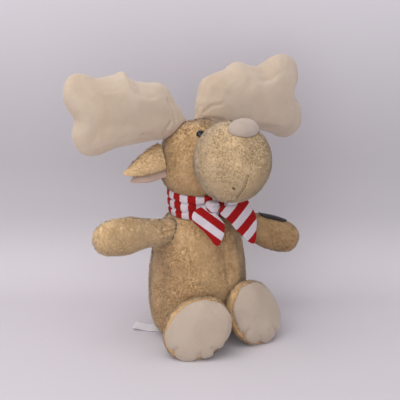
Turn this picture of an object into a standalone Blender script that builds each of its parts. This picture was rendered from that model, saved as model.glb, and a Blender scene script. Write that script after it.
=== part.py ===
"""Sitting plush moose with puffy antlers, round muzzle, paddle arms and a tied scarf.

Metres, +Z up. The toy faces -Y, its right side is -X, and the origin lies on the
floor under the middle of the trunk.
"""

import math

import bmesh
import bpy
from mathutils import Matrix, Vector
from mathutils.bvhtree import BVHTree

# Clearances and cloth
GAP = 0.0003
FILLING_GAP = 0.0005
SEAT_GAP = 0.0009
SWING_GAP = 0.0010
PLUSH_THICKNESS = 0.0020
OVERRUN = 0.004

# Trunk
TORSO_HEIGHT = 0.1085
TORSO_WIDTH = 0.079
TORSO_DEPTH = 0.074
SEAT_CUT_DEPTH = 0.0005
TORSO_SECTION_SHARES = (
    (0.0, 0.0, 0.0, 0.02),
    (0.0, 0.76, 0.72, 0.02),
    (0.14, 1.09, 1.03, 0.02),
    (0.45, 1.15, 1.06, 0.0),
    (0.75, 1.04, 0.94, -0.01),
    (0.91, 0.80, 0.72, -0.01),
    (0.965, 0.40, 0.42, 0.0),
    (1.0, 0.0, 0.0, 0.0),
)
PELLET_BAG_HEIGHT = 0.022
PELLET_BAG_SHARE = 0.62
BAG_MOUTH_SHARE = 0.7
BAG_SECTION_SHARES = (
    (0.0, 0.0, 0.0, 0.0),
    (0.0, 0.66, 0.66, 0.0),
    (0.60, 1.0, 1.0, 0.0),
    (1.0, 0.0, 0.0, 0.0),
)

# Neck and head
NECK_RADIUS = 0.0165
NECK_PROUD = 0.0020
NECK_HEIGHT = TORSO_HEIGHT + NECK_PROUD
SKULL_WIDTH = 0.058
SKULL_DEPTH = 0.056
SKULL_HEIGHT = 0.058
SKULL_BASE_RISE = 0.0075
SKULL_RISE = SKULL_BASE_RISE + SKULL_HEIGHT / 2
SKULL_PITCH = math.radians(12)
MUZZLE_WIDTH = 0.0545
MUZZLE_LENGTH = 0.0600
MUZZLE_HEIGHT = 0.0625
MUZZLE_PITCH = math.radians(28)
MUZZLE_BACK = 0.0195
MUZZLE_BACK_RISE = 0.0284
MUZZLE_FORWARD = MUZZLE_BACK + MUZZLE_LENGTH / 2 * math.cos(MUZZLE_PITCH)
MUZZLE_RISE = MUZZLE_BACK_RISE + MUZZLE_LENGTH / 2 * math.sin(MUZZLE_PITCH)
MUZZLE_OPENING_RADIUS = 0.012
SKULL_SECTION_SHARES = (
    (0.0, 0.0, 0.0, 0.0),
    (0.0, 0.60, 0.60, 0.0),
    (0.30, 1.06, 1.05, 0.0),
    (0.70, 1.06, 1.05, 0.0),
    (1.0, 0.60, 0.60, 0.0),
    (1.0, 0.0, 0.0, 0.0),
)
MUZZLE_SECTION_SHARES = (
    (0.0, 0.0, 0.0, 0.0),
    (0.0, 0.62, 0.62, 0.0),
    (0.30, 1.07, 1.07, 0.0),
    (0.70, 1.07, 1.07, 0.0),
    (1.0, 0.60, 0.60, 0.0),
    (1.0, 0.0, 0.0, 0.0),
)

# Nose and eyes
NOSE_WIDTH = 0.0255
NOSE_HEIGHT = 0.0185
NOSE_THICKNESS = 0.0075
NOSE_TILT = math.radians(62)
EYE_DIAMETER = 0.0075
EYE_DEPTH = 0.0055
EYE_SHANK_DIAMETER = 0.0022
EYE_SHANK_LENGTH = 0.0095
EYE_WASHER_DIAMETER = 0.0050
EYE_WASHER_THICKNESS = 0.0010
EYE_OUT = math.radians(25)
EYE_UP = math.radians(51)

# Ears
EAR_LENGTH = 0.042
EAR_HEIGHT = 0.0275
EAR_THICKNESS = 0.0075
EAR_LINING_THICKNESS = 0.004
EAR_LINING_SHARE = 0.80
EAR_LINING_DROP = 0.0095
EAR_DROOP = math.radians(20)
EAR_FOLD = math.radians(38)
EAR_RISE = 0.0435
EAR_ROOT_OUT = 0.0260
EAR_BACK = 0.006
EAR_INNER_SHARE = 0.6
EAR_CROWN_SHARE = 0.85
EAR_OUTLINE_SHARES = (
    (0.00, -0.42),
    (0.24, -0.48),
    (0.52, -0.42),
    (0.80, -0.26),
    (0.99, -0.12),
    (1.00, 0.04),
    (0.86, 0.20),
    (0.56, 0.40),
    (0.26, 0.50),
    (0.00, 0.46),
)

# Antlers
ANTLER_LENGTH = 0.089
ANTLER_HEIGHT = 0.072
ANTLER_THICKNESS = 0.031
ANTLER_ROOT_OUT = 0.0225
ANTLER_ROOT_RISE = 0.0560
ANTLER_ROOT_BACK = 0.009
RIGHT_ANTLER_LIFT = math.radians(2)
LEFT_ANTLER_LIFT = math.radians(-6)
LEFT_ANTLER_EXTRA_RISE = 0.0020
ANTLER_SWEEP = math.radians(0)
ANTLER_MIDDLE_SHARES = (0.44, 0.30)
ANTLER_MOUTH_SHARES = (0.0, 0.25)
ANTLER_MOUTH_RADIUS = 0.004
ANTLER_CORNER_SHARE = 0.38
ANTLER_RIM_GAIN_SHARE = 1.13
RIGHT_ANTLER_SHARES = (
    (-0.20, 0.02),
    (0.10, -0.05),
    (0.56, -0.08),
    (0.80, -0.11),
    (0.90, 0.08),
    (0.91, 0.30),
    (0.98, 0.50),
    (0.93, 0.71),
    (0.66, 0.69),
    (0.47, 0.74),
    (0.35, 0.63),
    (0.12, 0.60),
    (-0.05, 0.43),
    (-0.20, 0.18),
)
LEFT_ANTLER_SHARES = (
    (-0.20, 0.04),
    (0.14, -0.05),
    (0.58, -0.09),
    (0.82, -0.17),
    (0.99, -0.05),
    (1.00, 0.16),
    (0.91, 0.38),
    (0.93, 0.54),
    (0.88, 0.76),
    (0.66, 0.82),
    (0.48, 0.67),
    (0.25, 0.72),
    (0.06, 0.62),
    (-0.18, 0.50),
)
ANTLER_INNER_SHARE = 0.66
ANTLER_CROWN_SHARE = 0.92

# Arms
ARM_LENGTH = 0.069
ARM_ROOT_RADIUS = 0.0100
ARM_HAND_HEIGHT = 0.030
ARM_HAND_THICKNESS = 0.021
SHOULDER_INSET = 0.0100
SHOULDER_DROP = 0.0160
SHOULDER_OUT = TORSO_WIDTH / 2 - SHOULDER_INSET
SHOULDER_HEIGHT = TORSO_HEIGHT - SHOULDER_DROP
RIGHT_ARM_RAISE = math.radians(5)
LEFT_ARM_RAISE = math.radians(-24)
RIGHT_ARM_FORWARD = math.radians(4)
LEFT_ARM_FORWARD = math.radians(20)
ARM_SECTION_SHARES = (
    (0.28, 0.64, 0.86),
    (0.66, 1.10, 1.10),
    (0.96, 0.76, 0.72),
    (1.0, 0.0, 0.0),
)

# Legs and feet
LEG_LENGTH = 0.020
LEG_ROOT_RADIUS = 0.0120
FOOT_LENGTH = 0.0575
FOOT_WIDTH = 0.046
HIP_INSET = 0.0180
HIP_BEHIND_FRONT = 0.0080
HIP_OUT = TORSO_WIDTH / 2 - HIP_INSET
HIP_FORWARD = TORSO_DEPTH / 2 - HIP_BEHIND_FRONT
HIP_HEIGHT = 0.0215
RIGHT_LEG_SPLAY = math.radians(35)
LEFT_LEG_SPLAY = math.radians(1)
RIGHT_LEG_SWING = math.radians(12)
LEFT_LEG_SWING = math.radians(20)
SWING_STEP_SHARES = (0.0, 0.5, 1.0)
RIGHT_FOOT_TILT = math.radians(8)
LEFT_FOOT_TILT = math.radians(12)
RIGHT_FOOT_ROLL = math.radians(-50)
LEFT_FOOT_ROLL = math.radians(28)
SOLE_THICKNESS = 0.0065
LEG_SECTION_SHARES = (
    (0.34, 0.66, 0.72),
    (0.74, 1.08, 1.08),
    (1.12, 1.06, 1.06),
    (1.26, 0.0, 0.0),
)
SOLE_SEGMENTS = 14
SOLE_SECTION_SHARES = ((0.0, 0.0), (0.0, 0.90), (0.30, 1.0), (0.85, 0.80), (1.0, 0.0))
TOE_TUCK_DEPTH_SHARE = 0.06
TOE_TUCK_STEPS = (5, 7, 9)

# Rounded inner end of a limb, as shares of its root radius
ROOT_END_SHARES = (
    (-1.0, 0.0),
    (-0.84, 0.66),
    (0.10, 1.12),
)
ROOT_OPENING_SHARE = 0.45

# Scarf
SCARF_INNER_RADIUS = 0.0202
SCARF_THICKNESS = 0.0048
SCARF_HEIGHT = 0.0165
SCARF_DROP = 0.0075
SCARF_BOTTOM = NECK_HEIGHT - SCARF_DROP
SCARF_TILT = math.radians(6)
SCARF_STEPS = 18
SCARF_PROFILE_SHARES = (
    (0.30, 1.0),
    (0.80, 0.95),
    (0.98, 0.82),
    (0.82, 0.70),
    (1.0, 0.55),
    (0.84, 0.36),
    (1.0, 0.20),
    (0.75, 0.04),
    (0.20, 0.0),
    (0.0, 0.12),
    (0.0, 0.88),
)
KNOT_WIDTH = 0.0135
KNOT_THICKNESS = 0.0115
KNOT_SIDE = -0.0060
KNOT_FORWARD = 0.0280
KNOT_ABOVE_NECK = 0.0035
KNOT_RISE = NECK_HEIGHT + KNOT_ABOVE_NECK
TAIL_LENGTH = 0.0385
TAIL_THICKNESS = 0.0042
RIGHT_TAIL_FACING = math.radians(-27)
LEFT_TAIL_FACING = math.radians(-5)
TAIL_LEAN = math.radians(14)
TAIL_FORWARD = 0.0045
RIGHT_TAIL_SHARES = (
    (0.02, 0.04),
    (-0.16, 0.05),
    (-0.40, -0.07),
    (-0.41, -0.25),
    (-0.18, -0.49),
    (0.08, -0.77),
    (0.23, -0.38),
    (0.08, -0.14),
)
LEFT_TAIL_SHARES = (
    (0.02, 0.02),
    (0.06, -0.10),
    (0.25, -0.30),
    (0.53, -0.65),
    (0.82, -0.87),
    (0.93, -0.38),
    (0.78, 0.02),
    (0.42, -0.02),
)
TAIL_INNER_SHARE = 0.7
TAIL_CROWN_SHARE = 0.8

# Cloth tags
ARM_TAG_LENGTH = 0.026
ARM_TAG_WIDTH = 0.010
ARM_TAG_THICKNESS = 0.0009
ARM_TAG_PLACE_SHARE = 0.56
CARE_LABEL_LENGTH = 0.026
CARE_LABEL_WIDTH = 0.013
CARE_LABEL_THICKNESS = 0.0008
CARE_LABEL_ROOT = 0.0270
CARE_LABEL_BEARING = math.radians(147)
CARE_LABEL_SLANT = math.radians(-12)

# How finely the forms are drawn
BODY_SEGMENTS = 10
LIMB_SEGMENTS = 8
CUP_SEGMENTS = 14
CUP_RINGS = 8
CAGE_GAIN_SHARE = 1.035
SMALL_SEGMENTS = 12

PARTS = "plush_deer"
GUIDES = "cutters"


def start_scene():
    """Empties the file and makes the two collections."""
    for obj in list(bpy.data.objects):
        bpy.data.objects.remove(obj, do_unlink=True)
    for name in (PARTS, GUIDES):
        collection = bpy.data.collections.new(name)
        bpy.context.scene.collection.children.link(collection)


def fabric(name, colour, roughness, metallic=0.0):
    """A plain surface colour for one piece."""
    material = bpy.data.materials.new(name)
    material.use_nodes = True
    shader = material.node_tree.nodes["Principled BSDF"]
    shader.inputs["Base Color"].default_value = (*colour, 1.0)
    shader.inputs["Roughness"].default_value = roughness
    shader.inputs["Metallic"].default_value = metallic
    return material


def add_object(name, mesh, matrix, material=None, parent=None):
    """Adds a piece, or a guide when it has no material, at a place in its parent's frame."""
    obj = bpy.data.objects.new(name, mesh)
    obj.parent = parent
    obj.matrix_basis = matrix
    group = PARTS if material else GUIDES
    bpy.data.collections[group].objects.link(obj)
    if material:
        obj.data = mesh.copy()
        obj.data.materials.append(material)
    else:
        obj.hide_render = True
        obj.display_type = "WIRE"
    return obj


def pivot(name, location):
    """An empty that carries the pieces of one moving group."""
    obj = bpy.data.objects.new(name, None)
    obj.matrix_basis = Matrix.Translation(location)
    bpy.data.collections[PARTS].objects.link(obj)
    return obj


def smooth(mesh):
    """Shades every face smooth."""
    for polygon in mesh.polygons:
        polygon.use_smooth = True
    return mesh


def ball_cage(name, segments, rows, place):
    """A sphere primitive whose points are moved by place(row, turn), row 0 at the lower pole."""
    bm = bmesh.new()
    bmesh.ops.create_uvsphere(bm, u_segments=segments, v_segments=rows, radius=1.0)
    step = 2 * math.pi / segments
    for vertex in bm.verts:
        row = rows - round(math.acos(max(-1.0, min(1.0, vertex.co.z))) / math.pi * rows)
        turn = round(math.atan2(vertex.co.y, vertex.co.x) / step) % segments
        vertex.co = place(row, turn)
    mesh = bpy.data.meshes.new(name)
    bm.to_mesh(mesh)
    bm.free()
    return smooth(mesh)


def swelling_cage(name, segments, sections):
    """A round form along Z from rows of (along, half width, half depth, shift in Y)."""
    step = 2 * math.pi / segments

    def place(row, turn):
        along, half_width, half_depth, shift = sections[row]
        across = math.cos(turn * step) * half_width * CAGE_GAIN_SHARE
        deep = math.sin(turn * step) * half_depth * CAGE_GAIN_SHARE
        return Vector((across, deep + shift, along))

    return ball_cage(name, segments, len(sections) - 1, place)


def pillow_cage(name, outline, middle, inner_share, crown_share, thickness):
    """A stuffed flat form: the outline is its rim, its two faces swell to the thickness."""
    heights = (-1.0, -crown_share, 0.0, crown_share, 1.0)
    spread = (0.0, inner_share, 1.0, inner_share, 0.0)

    def place(row, turn):
        point = middle + (outline[turn] - middle) * spread[row]
        return Vector((point.x, point.y, heights[row] * thickness / 2))

    return ball_cage(name, len(outline), 4, place)


def soften(obj, level=1):
    """Rounds a cage with a subdivision surface."""
    modifier = obj.modifiers.new("round", "SUBSURF")
    modifier.levels = level
    modifier.render_levels = level
    return obj


def grow(obj, distance):
    """Moves a form's surface outwards, or inwards when the distance is negative."""
    modifier = obj.modifiers.new("offset", "DISPLACE")
    modifier.direction = "NORMAL"
    modifier.mid_level = 0.0
    modifier.strength = distance
    return obj


def hollow(obj, thickness):
    """Turns a closed form into a skin of the given thickness, measured inwards."""
    modifier = obj.modifiers.new("skin", "SOLIDIFY")
    modifier.thickness = thickness
    modifier.offset = -1.0
    return obj


def combine(obj, other, operation):
    """Boolean of two closed forms."""
    modifier = obj.modifiers.new(operation.lower(), "BOOLEAN")
    modifier.operation = operation
    modifier.solver = "EXACT"
    modifier.object = other
    return obj


def cut(obj, *others):
    """Takes the other forms away from a piece."""
    for other in others:
        combine(obj, other, "DIFFERENCE")
    return obj


def ball_mesh(name, radius, segments=CUP_SEGMENTS, rings=CUP_RINGS):
    """A sphere of the given radius."""
    bm = bmesh.new()
    bmesh.ops.create_uvsphere(bm, u_segments=segments, v_segments=rings, radius=radius)
    mesh = bpy.data.meshes.new(name)
    bm.to_mesh(mesh)
    bm.free()
    return smooth(mesh)


def block_mesh(name, size):
    """A box with the given sides about its centre."""
    bm = bmesh.new()
    bmesh.ops.create_cube(bm, size=1.0)
    bmesh.ops.scale(bm, vec=Vector(size), verts=bm.verts)
    mesh = bpy.data.meshes.new(name)
    bm.to_mesh(mesh)
    bm.free()
    return mesh


def rod_mesh(name, radius, length, segments=SMALL_SEGMENTS):
    """A cylinder along Z about its centre."""
    bm = bmesh.new()
    bmesh.ops.create_cone(
        bm, cap_ends=True, segments=segments, radius1=radius, radius2=radius, depth=length
    )
    mesh = bpy.data.meshes.new(name)
    bm.to_mesh(mesh)
    bm.free()
    return mesh


def turned_mesh(name, profile, steps):
    """A closed ring made by turning a profile of (radius, height) about Z."""
    mesh = bpy.data.meshes.new(name + "_profile")
    edges = [(i, (i + 1) % len(profile)) for i in range(len(profile))]
    mesh.from_pydata([(radius, 0.0, height) for radius, height in profile], edges, [])
    obj = bpy.data.objects.new(name + "_profile", mesh)
    bpy.data.collections[GUIDES].objects.link(obj)
    modifier = obj.modifiers.new("turn", "SCREW")
    modifier.steps = steps
    modifier.render_steps = steps
    modifier.use_merge_vertices = True
    modifier.merge_threshold = GAP / 10
    depsgraph = bpy.context.evaluated_depsgraph_get()
    turned = bpy.data.meshes.new_from_object(obj.evaluated_get(depsgraph))
    bpy.data.objects.remove(obj, do_unlink=True)
    turned.name = name
    return smooth(turned)


def aim(location, along, up):
    """A frame whose Z runs along a direction, with X as near to the second one as it can be."""
    axis_z = Vector(along).normalized()
    axis_y = axis_z.cross(Vector(up)).normalized()
    axis_x = axis_y.cross(axis_z)
    turn = Matrix((axis_x, axis_y, axis_z)).transposed().to_4x4()
    return Matrix.Translation(location) @ turn


def limb_sections(root, length, height, thickness, shares):
    """Rows of a limb along Z: a round inner end, a narrow root and a swelling outer end."""
    rows = [(along * root, width * root, width * root, 0.0) for along, width in ROOT_END_SHARES]
    for along, tall, thick in shares:
        rows.append((along * length, tall * height / 2, thick * thickness / 2, 0.0))
    return rows


def body_sections(shares, width, depth, height, base=0.0):
    """Rows of a body form from shares of its width, depth and height."""
    return [
        (base + along * height, wide * width / 2, deep * depth / 2, shift * depth)
        for along, wide, deep, shift in shares
    ]


def stuffed(name, mesh, matrix, parent, cloth, fill, openings):
    """A sewn cover and the stuffing in it, both cut by the same openings."""
    cover = hollow(soften(add_object(name + "_cover", mesh, matrix, cloth, parent)), PLUSH_THICKNESS)
    filling = grow(
        soften(add_object(name + "_stuffing", mesh, matrix, fill, parent)), -PLUSH_THICKNESS - FILLING_GAP
    )
    cut(cover, *openings)
    cut(filling, *openings)
    return cover, filling


def floor_guide():
    """A block under the floor, which flattens what rests on it."""
    side = 4 * TORSO_WIDTH
    mesh = block_mesh("under_floor", (side, side, TORSO_HEIGHT))
    return add_object("under_floor", mesh, Matrix.Translation((0, 0, -TORSO_HEIGHT / 2)))


def cup_guide(name, location, radius):
    """The round seat that a limb's root turns in."""
    return add_object(name, ball_mesh(name, radius + SEAT_GAP), Matrix.Translation(location))


def side_name(side):
    """The toy's own right is -X."""
    return "right" if side < 0 else "left"


def shoulder(side):
    """Where an arm turns."""
    return Vector((side * SHOULDER_OUT, 0.0, SHOULDER_HEIGHT))


def hip(side):
    """Where a leg turns."""
    return Vector((side * HIP_OUT, -HIP_FORWARD, HIP_HEIGHT))


def neck():
    """Where the head turns."""
    return Vector((0.0, 0.0, NECK_HEIGHT))


def torso_cage():
    """The trunk's form, a little deeper than the floor, which cuts it flat."""
    sections = body_sections(
        TORSO_SECTION_SHARES, TORSO_WIDTH, TORSO_DEPTH, TORSO_HEIGHT + SEAT_CUT_DEPTH, -SEAT_CUT_DEPTH
    )
    return swelling_cage("torso_cage", BODY_SEGMENTS, sections)


def trunk_guide(name, seat, root_radius, swing=0.0):
    """The room that the trunk takes while a limb swings round, without the limb's round seat."""
    forms = []
    for share in SWING_STEP_SHARES if swing else (0.0,):
        turn = Matrix.Rotation(share * swing, 4, "Z")
        place = Matrix.Translation(seat) @ turn @ Matrix.Translation(-seat)
        form = soften(add_object(name + "_trunk_guide", torso_cage(), place))
        forms.append(grow(form, SWING_GAP))
    guide = forms[0]
    for form in forms[1:]:
        combine(guide, form, "UNION")
    kept = ball_mesh(name + "_kept", root_radius)
    return cut(guide, add_object(name + "_kept", kept, Matrix.Translation(seat)))


def build_torso(looks, floor):
    """Trunk cover, its stuffing and the bag of pellets that weighs the seat down."""
    mesh = torso_cage()
    seats = [floor, cup_guide("neck_seat", neck(), NECK_RADIUS)]
    for side in (-1, 1):
        seats.append(cup_guide(side_name(side) + "_arm_seat", shoulder(side), ARM_ROOT_RADIUS))
        seats.append(cup_guide(side_name(side) + "_leg_seat", hip(side), LEG_ROOT_RADIUS))
    place = Matrix.Identity(4)
    _, filling = stuffed("torso", mesh, place, None, looks["plush"], looks["filling"], seats)
    build_pellet_bag(filling, looks)


def build_pellet_bag(filling, looks):
    """A flat bag low in the trunk, in a pocket that opens at the foot of the stuffing."""
    width = TORSO_WIDTH * PELLET_BAG_SHARE
    depth = TORSO_DEPTH * PELLET_BAG_SHARE
    sections = body_sections(BAG_SECTION_SHARES, width, depth, PELLET_BAG_HEIGHT)
    mesh = swelling_cage("pellet_cage", BODY_SEGMENTS, sections)
    place = Matrix.Translation((0.0, 0.0, PLUSH_THICKNESS + 2 * GAP))
    soften(add_object("pellet_bag", mesh, place, looks["pellets"]))
    pocket = grow(soften(add_object("pellet_pocket", mesh, place)), GAP)
    mouth = rod_mesh("pellet_mouth", width * BAG_MOUTH_SHARE / 2, PELLET_BAG_HEIGHT, CUP_SEGMENTS)
    cut(filling, pocket, add_object("pellet_mouth", mouth, Matrix.Identity(4)))


def skull_place():
    """The middle of the skull, tipped back, in the head's frame."""
    return Matrix.Translation((0.0, 0.0, SKULL_RISE)) @ Matrix.Rotation(-SKULL_PITCH, 4, "X")


def muzzle_place():
    """The middle of the muzzle with its long axis along local Z, in the head's frame."""
    forward = (0.0, -math.cos(MUZZLE_PITCH), math.sin(MUZZLE_PITCH))
    return aim((0.0, -MUZZLE_FORWARD, MUZZLE_RISE), forward, (1.0, 0.0, 0.0))


def head_forms():
    """Cages of the skull with its neck stub, and of the muzzle, each about its middle."""
    skull = body_sections(
        SKULL_SECTION_SHARES, SKULL_WIDTH, SKULL_DEPTH, SKULL_HEIGHT, -SKULL_HEIGHT / 2
    )
    muzzle = body_sections(
        MUZZLE_SECTION_SHARES, MUZZLE_WIDTH, MUZZLE_HEIGHT, MUZZLE_LENGTH, -MUZZLE_LENGTH / 2
    )
    return (
        swelling_cage("skull_cage", BODY_SEGMENTS, skull),
        swelling_cage("muzzle_cage", BODY_SEGMENTS, muzzle),
    )


def build_head(looks):
    """Skull and muzzle covers over one stuffing, with nose, eyes, ears and antlers."""
    head = pivot("head_pivot", neck())
    skull_mesh, muzzle_mesh = head_forms()
    skull_at = skull_place()
    muzzle_at = muzzle_place()
    no_turn = Matrix.Identity(4)

    def guide(name, mesh, place, distance):
        return grow(soften(add_object(name, mesh, place, None, head)), distance)

    outer_skull = guide("skull_with_gap", skull_mesh, skull_at, GAP)
    clear_skull = guide("skull_with_swing_gap", skull_mesh, skull_at, SWING_GAP)
    outer_muzzle = guide("muzzle_with_gap", muzzle_mesh, muzzle_at, GAP)
    inner = -PLUSH_THICKNESS - FILLING_GAP
    backwards = skull_at.translation - muzzle_at.translation
    opening_length = backwards.length
    opening = rod_mesh("muzzle_opening", MUZZLE_OPENING_RADIUS, opening_length, CUP_SEGMENTS)
    plug = rod_mesh("muzzle_plug", MUZZLE_OPENING_RADIUS - GAP, opening_length, CUP_SEGMENTS)
    opening_at = aim(muzzle_at.translation + backwards / 2, backwards, (1.0, 0.0, 0.0))
    opening_guide = add_object("muzzle_opening", opening, opening_at, None, head)
    plug_guide = add_object("muzzle_plug", plug, opening_at, None, head)
    neck_ball = add_object("neck_ball", ball_mesh("neck_ball", NECK_RADIUS), no_turn, None, head)
    neck_core = add_object(
        "neck_core", ball_mesh("neck_core", NECK_RADIUS - PLUSH_THICKNESS), no_turn, None, head
    )

    cover = soften(add_object("head_cover", skull_mesh, skull_at, looks["plush"], head))
    combine(cover, neck_ball, "UNION")
    skull_inside = guide("skull_inside", skull_mesh, skull_at, -PLUSH_THICKNESS)
    combine(skull_inside, neck_core, "UNION")
    neck_mouth = neck_opening(head)
    cut(cover, skull_inside, outer_muzzle, neck_mouth)

    filling_skull = guide("skull_filling", skull_mesh, skull_at, inner)
    filling_neck = ball_mesh("neck_filling", NECK_RADIUS + inner)
    combine(filling_skull, add_object("neck_filling", filling_neck, no_turn, None, head), "UNION")
    cut(filling_skull, outer_muzzle)
    filling = soften(add_object("head_stuffing", muzzle_mesh, muzzle_at, looks["filling"], head))
    grow(filling, inner)
    combine(filling, plug_guide, "UNION")
    combine(filling, filling_skull, "UNION")

    muzzle = soften(add_object("muzzle_cover", muzzle_mesh, muzzle_at, looks["muzzle"], head))
    hollow(muzzle, PLUSH_THICKNESS)
    cut(muzzle, opening_guide)
    return head, cover, filling, outer_skull, outer_muzzle, clear_skull


def neck_opening(head):
    """The hole at the foot of the neck, where the head's stuffing meets the trunk's."""
    height = NECK_RADIUS
    mesh = rod_mesh("neck_mouth", NECK_RADIUS * ROOT_OPENING_SHARE, height, CUP_SEGMENTS)
    half_step = Matrix.Rotation(math.pi / CUP_SEGMENTS, 4, "Z")
    place = Matrix.Translation((0.0, 0.0, -NECK_RADIUS)) @ half_step
    return add_object("neck_mouth", mesh, place, None, head)


def build_nose(head, outer_muzzle, looks):
    """An oval pad on the upper front of the muzzle."""
    muzzle_at = muzzle_place()
    centre = muzzle_at.translation
    direction = Vector((0.0, -math.cos(NOSE_TILT), math.sin(NOSE_TILT)))
    reach = surface_reach(direction)
    place = aim(centre + direction * reach, direction, (1.0, 0.0, 0.0))
    mesh = ball_mesh("nose_form", NOSE_WIDTH / 2)
    flat = Matrix.Diagonal((1.0, NOSE_HEIGHT / NOSE_WIDTH, NOSE_THICKNESS * 2 / NOSE_WIDTH, 1.0))
    mesh.transform(flat)
    cut(add_object("nose_patch", mesh, place, looks["cream"], head), outer_muzzle)


def surface_reach(direction):
    """How far the muzzle's surface lies from its middle along a direction in its upright plane."""
    along = Vector((0.0, -math.cos(MUZZLE_PITCH), math.sin(MUZZLE_PITCH)))
    lengthwise = direction.dot(along) / (MUZZLE_LENGTH / 2)
    upright = math.sqrt(max(0.0, 1.0 - direction.dot(along) ** 2)) / (MUZZLE_HEIGHT / 2)
    return 1.0 / math.hypot(lengthwise, upright)


def build_eye(side, head, cover, filling, outer_skull, outer_muzzle, looks):
    """A domed bead on a shank, and the washer that locks it behind the cover."""
    name = side_name(side)
    direction = Vector(
        (side * math.sin(EYE_OUT) * math.cos(EYE_UP), -math.cos(EYE_OUT) * math.cos(EYE_UP), math.sin(EYE_UP))
    )
    place = aim(skull_point(outer_skull, direction), direction, (0.0, 0.0, 1.0))
    bead = ball_mesh("eye_bead", EYE_DIAMETER / 2, SMALL_SEGMENTS, SMALL_SEGMENTS // 2 + 1)
    bead.transform(Matrix.Diagonal((1.0, 1.0, EYE_DEPTH / EYE_DIAMETER, 1.0)))
    eye = cut(add_object(name + "_eye", bead, place, looks["bead"], head), outer_skull, outer_muzzle)
    shank_at = place @ Matrix.Translation((0.0, 0.0, EYE_DEPTH / 4 - EYE_SHANK_LENGTH / 2))
    shank = rod_mesh("eye_shank", EYE_SHANK_DIAMETER / 2, EYE_SHANK_LENGTH)
    combine(eye, add_object(name + "_shank", shank, shank_at, None, head), "UNION")
    hole_radius = EYE_SHANK_DIAMETER / 2 + GAP
    hole = rod_mesh("shank_hole", hole_radius, EYE_SHANK_LENGTH + 2 * OVERRUN)
    hole_guide = add_object(name + "_shank_hole", hole, shank_at, None, head)
    depth = PLUSH_THICKNESS + EYE_WASHER_THICKNESS / 2 + 3 * GAP
    profile = ring_profile(hole_radius, EYE_WASHER_DIAMETER / 2, EYE_WASHER_THICKNESS)
    washer_at = place @ Matrix.Translation((0.0, 0.0, -depth))
    washer = turned_mesh(name + "_washer", profile, SMALL_SEGMENTS)
    add_object(name + "_eye_washer", washer, washer_at, looks["bead"], head)
    pocket = rod_mesh("washer_pocket", EYE_WASHER_DIAMETER / 2 + GAP, 2 * depth)
    pocket_guide = add_object(name + "_washer_pocket", pocket, washer_at, None, head)
    cut(cover, hole_guide)
    cut(filling, hole_guide, pocket_guide)


def ring_profile(inner, outer, height):
    """A rectangle of (radius, height) points, down its outer side first."""
    top = height / 2
    return [(outer, top), (outer, -top), (inner, -top), (inner, top)]


def skull_point(outer_skull, direction):
    """Where a line from the skull's middle leaves its surface, in the head's frame."""
    depsgraph = bpy.context.evaluated_depsgraph_get()
    surface = BVHTree.FromObject(outer_skull, depsgraph)
    inward = skull_place().inverted()
    start = inward @ skull_place().translation
    hit, _, _, _ = surface.ray_cast(start, inward.to_3x3() @ direction)
    return skull_place() @ hit - direction * GAP


def outline_points(shares, length, height):
    """An outline from shares of its length and height."""
    return [Vector((along * length, up * height, 0.0)) for along, up in shares]


def cornered(outline, share):
    """Draws each point out from its neighbours, since the rounding pulls it back in."""
    drawn = []
    for index, point in enumerate(outline):
        between = (outline[index - 1] + outline[(index + 1) % len(outline)]) / 2
        drawn.append(point + (point - between) * share)
    return drawn


def build_ear(side, head, clear_skull, looks):
    """A leaf-shaped ear that hangs out sideways, with its lining underneath."""
    name = side_name(side)
    outward = Vector((side * math.cos(EAR_DROOP), 0.0, -math.sin(EAR_DROOP)))
    crosswise = Vector((0.0, math.sin(EAR_FOLD), math.cos(EAR_FOLD)))
    root = Vector((side * EAR_ROOT_OUT, EAR_BACK, EAR_RISE))
    normal = outward.cross(crosswise).normalized()
    place = aim(root, normal, outward)
    outline = outline_points(EAR_OUTLINE_SHARES, EAR_LENGTH, EAR_HEIGHT)
    middle = Vector((EAR_LENGTH / 2, 0.0, 0.0))
    mesh = pillow_cage("ear_cage", outline, middle, EAR_INNER_SHARE, EAR_CROWN_SHARE, EAR_THICKNESS)
    cut(soften(add_object(name + "_ear", mesh, place, looks["plush"], head)), clear_skull)
    ear_guide = grow(soften(add_object(name + "_ear_with_gap", mesh, place, None, head)), GAP)
    inset = [middle + (point - middle) * EAR_LINING_SHARE for point in outline]
    lining_mesh = pillow_cage(
        "lining_cage", inset, middle, EAR_INNER_SHARE, EAR_CROWN_SHARE, EAR_LINING_THICKNESS
    )
    below = -1.0 if normal.z > 0 else 1.0
    lining_at = place @ Matrix.Translation((0.0, -EAR_LINING_DROP, below * EAR_THICKNESS / 2))
    lining = soften(add_object(name + "_ear_lining", lining_mesh, lining_at, looks["lining"], head))
    cut(lining, ear_guide, clear_skull)


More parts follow.
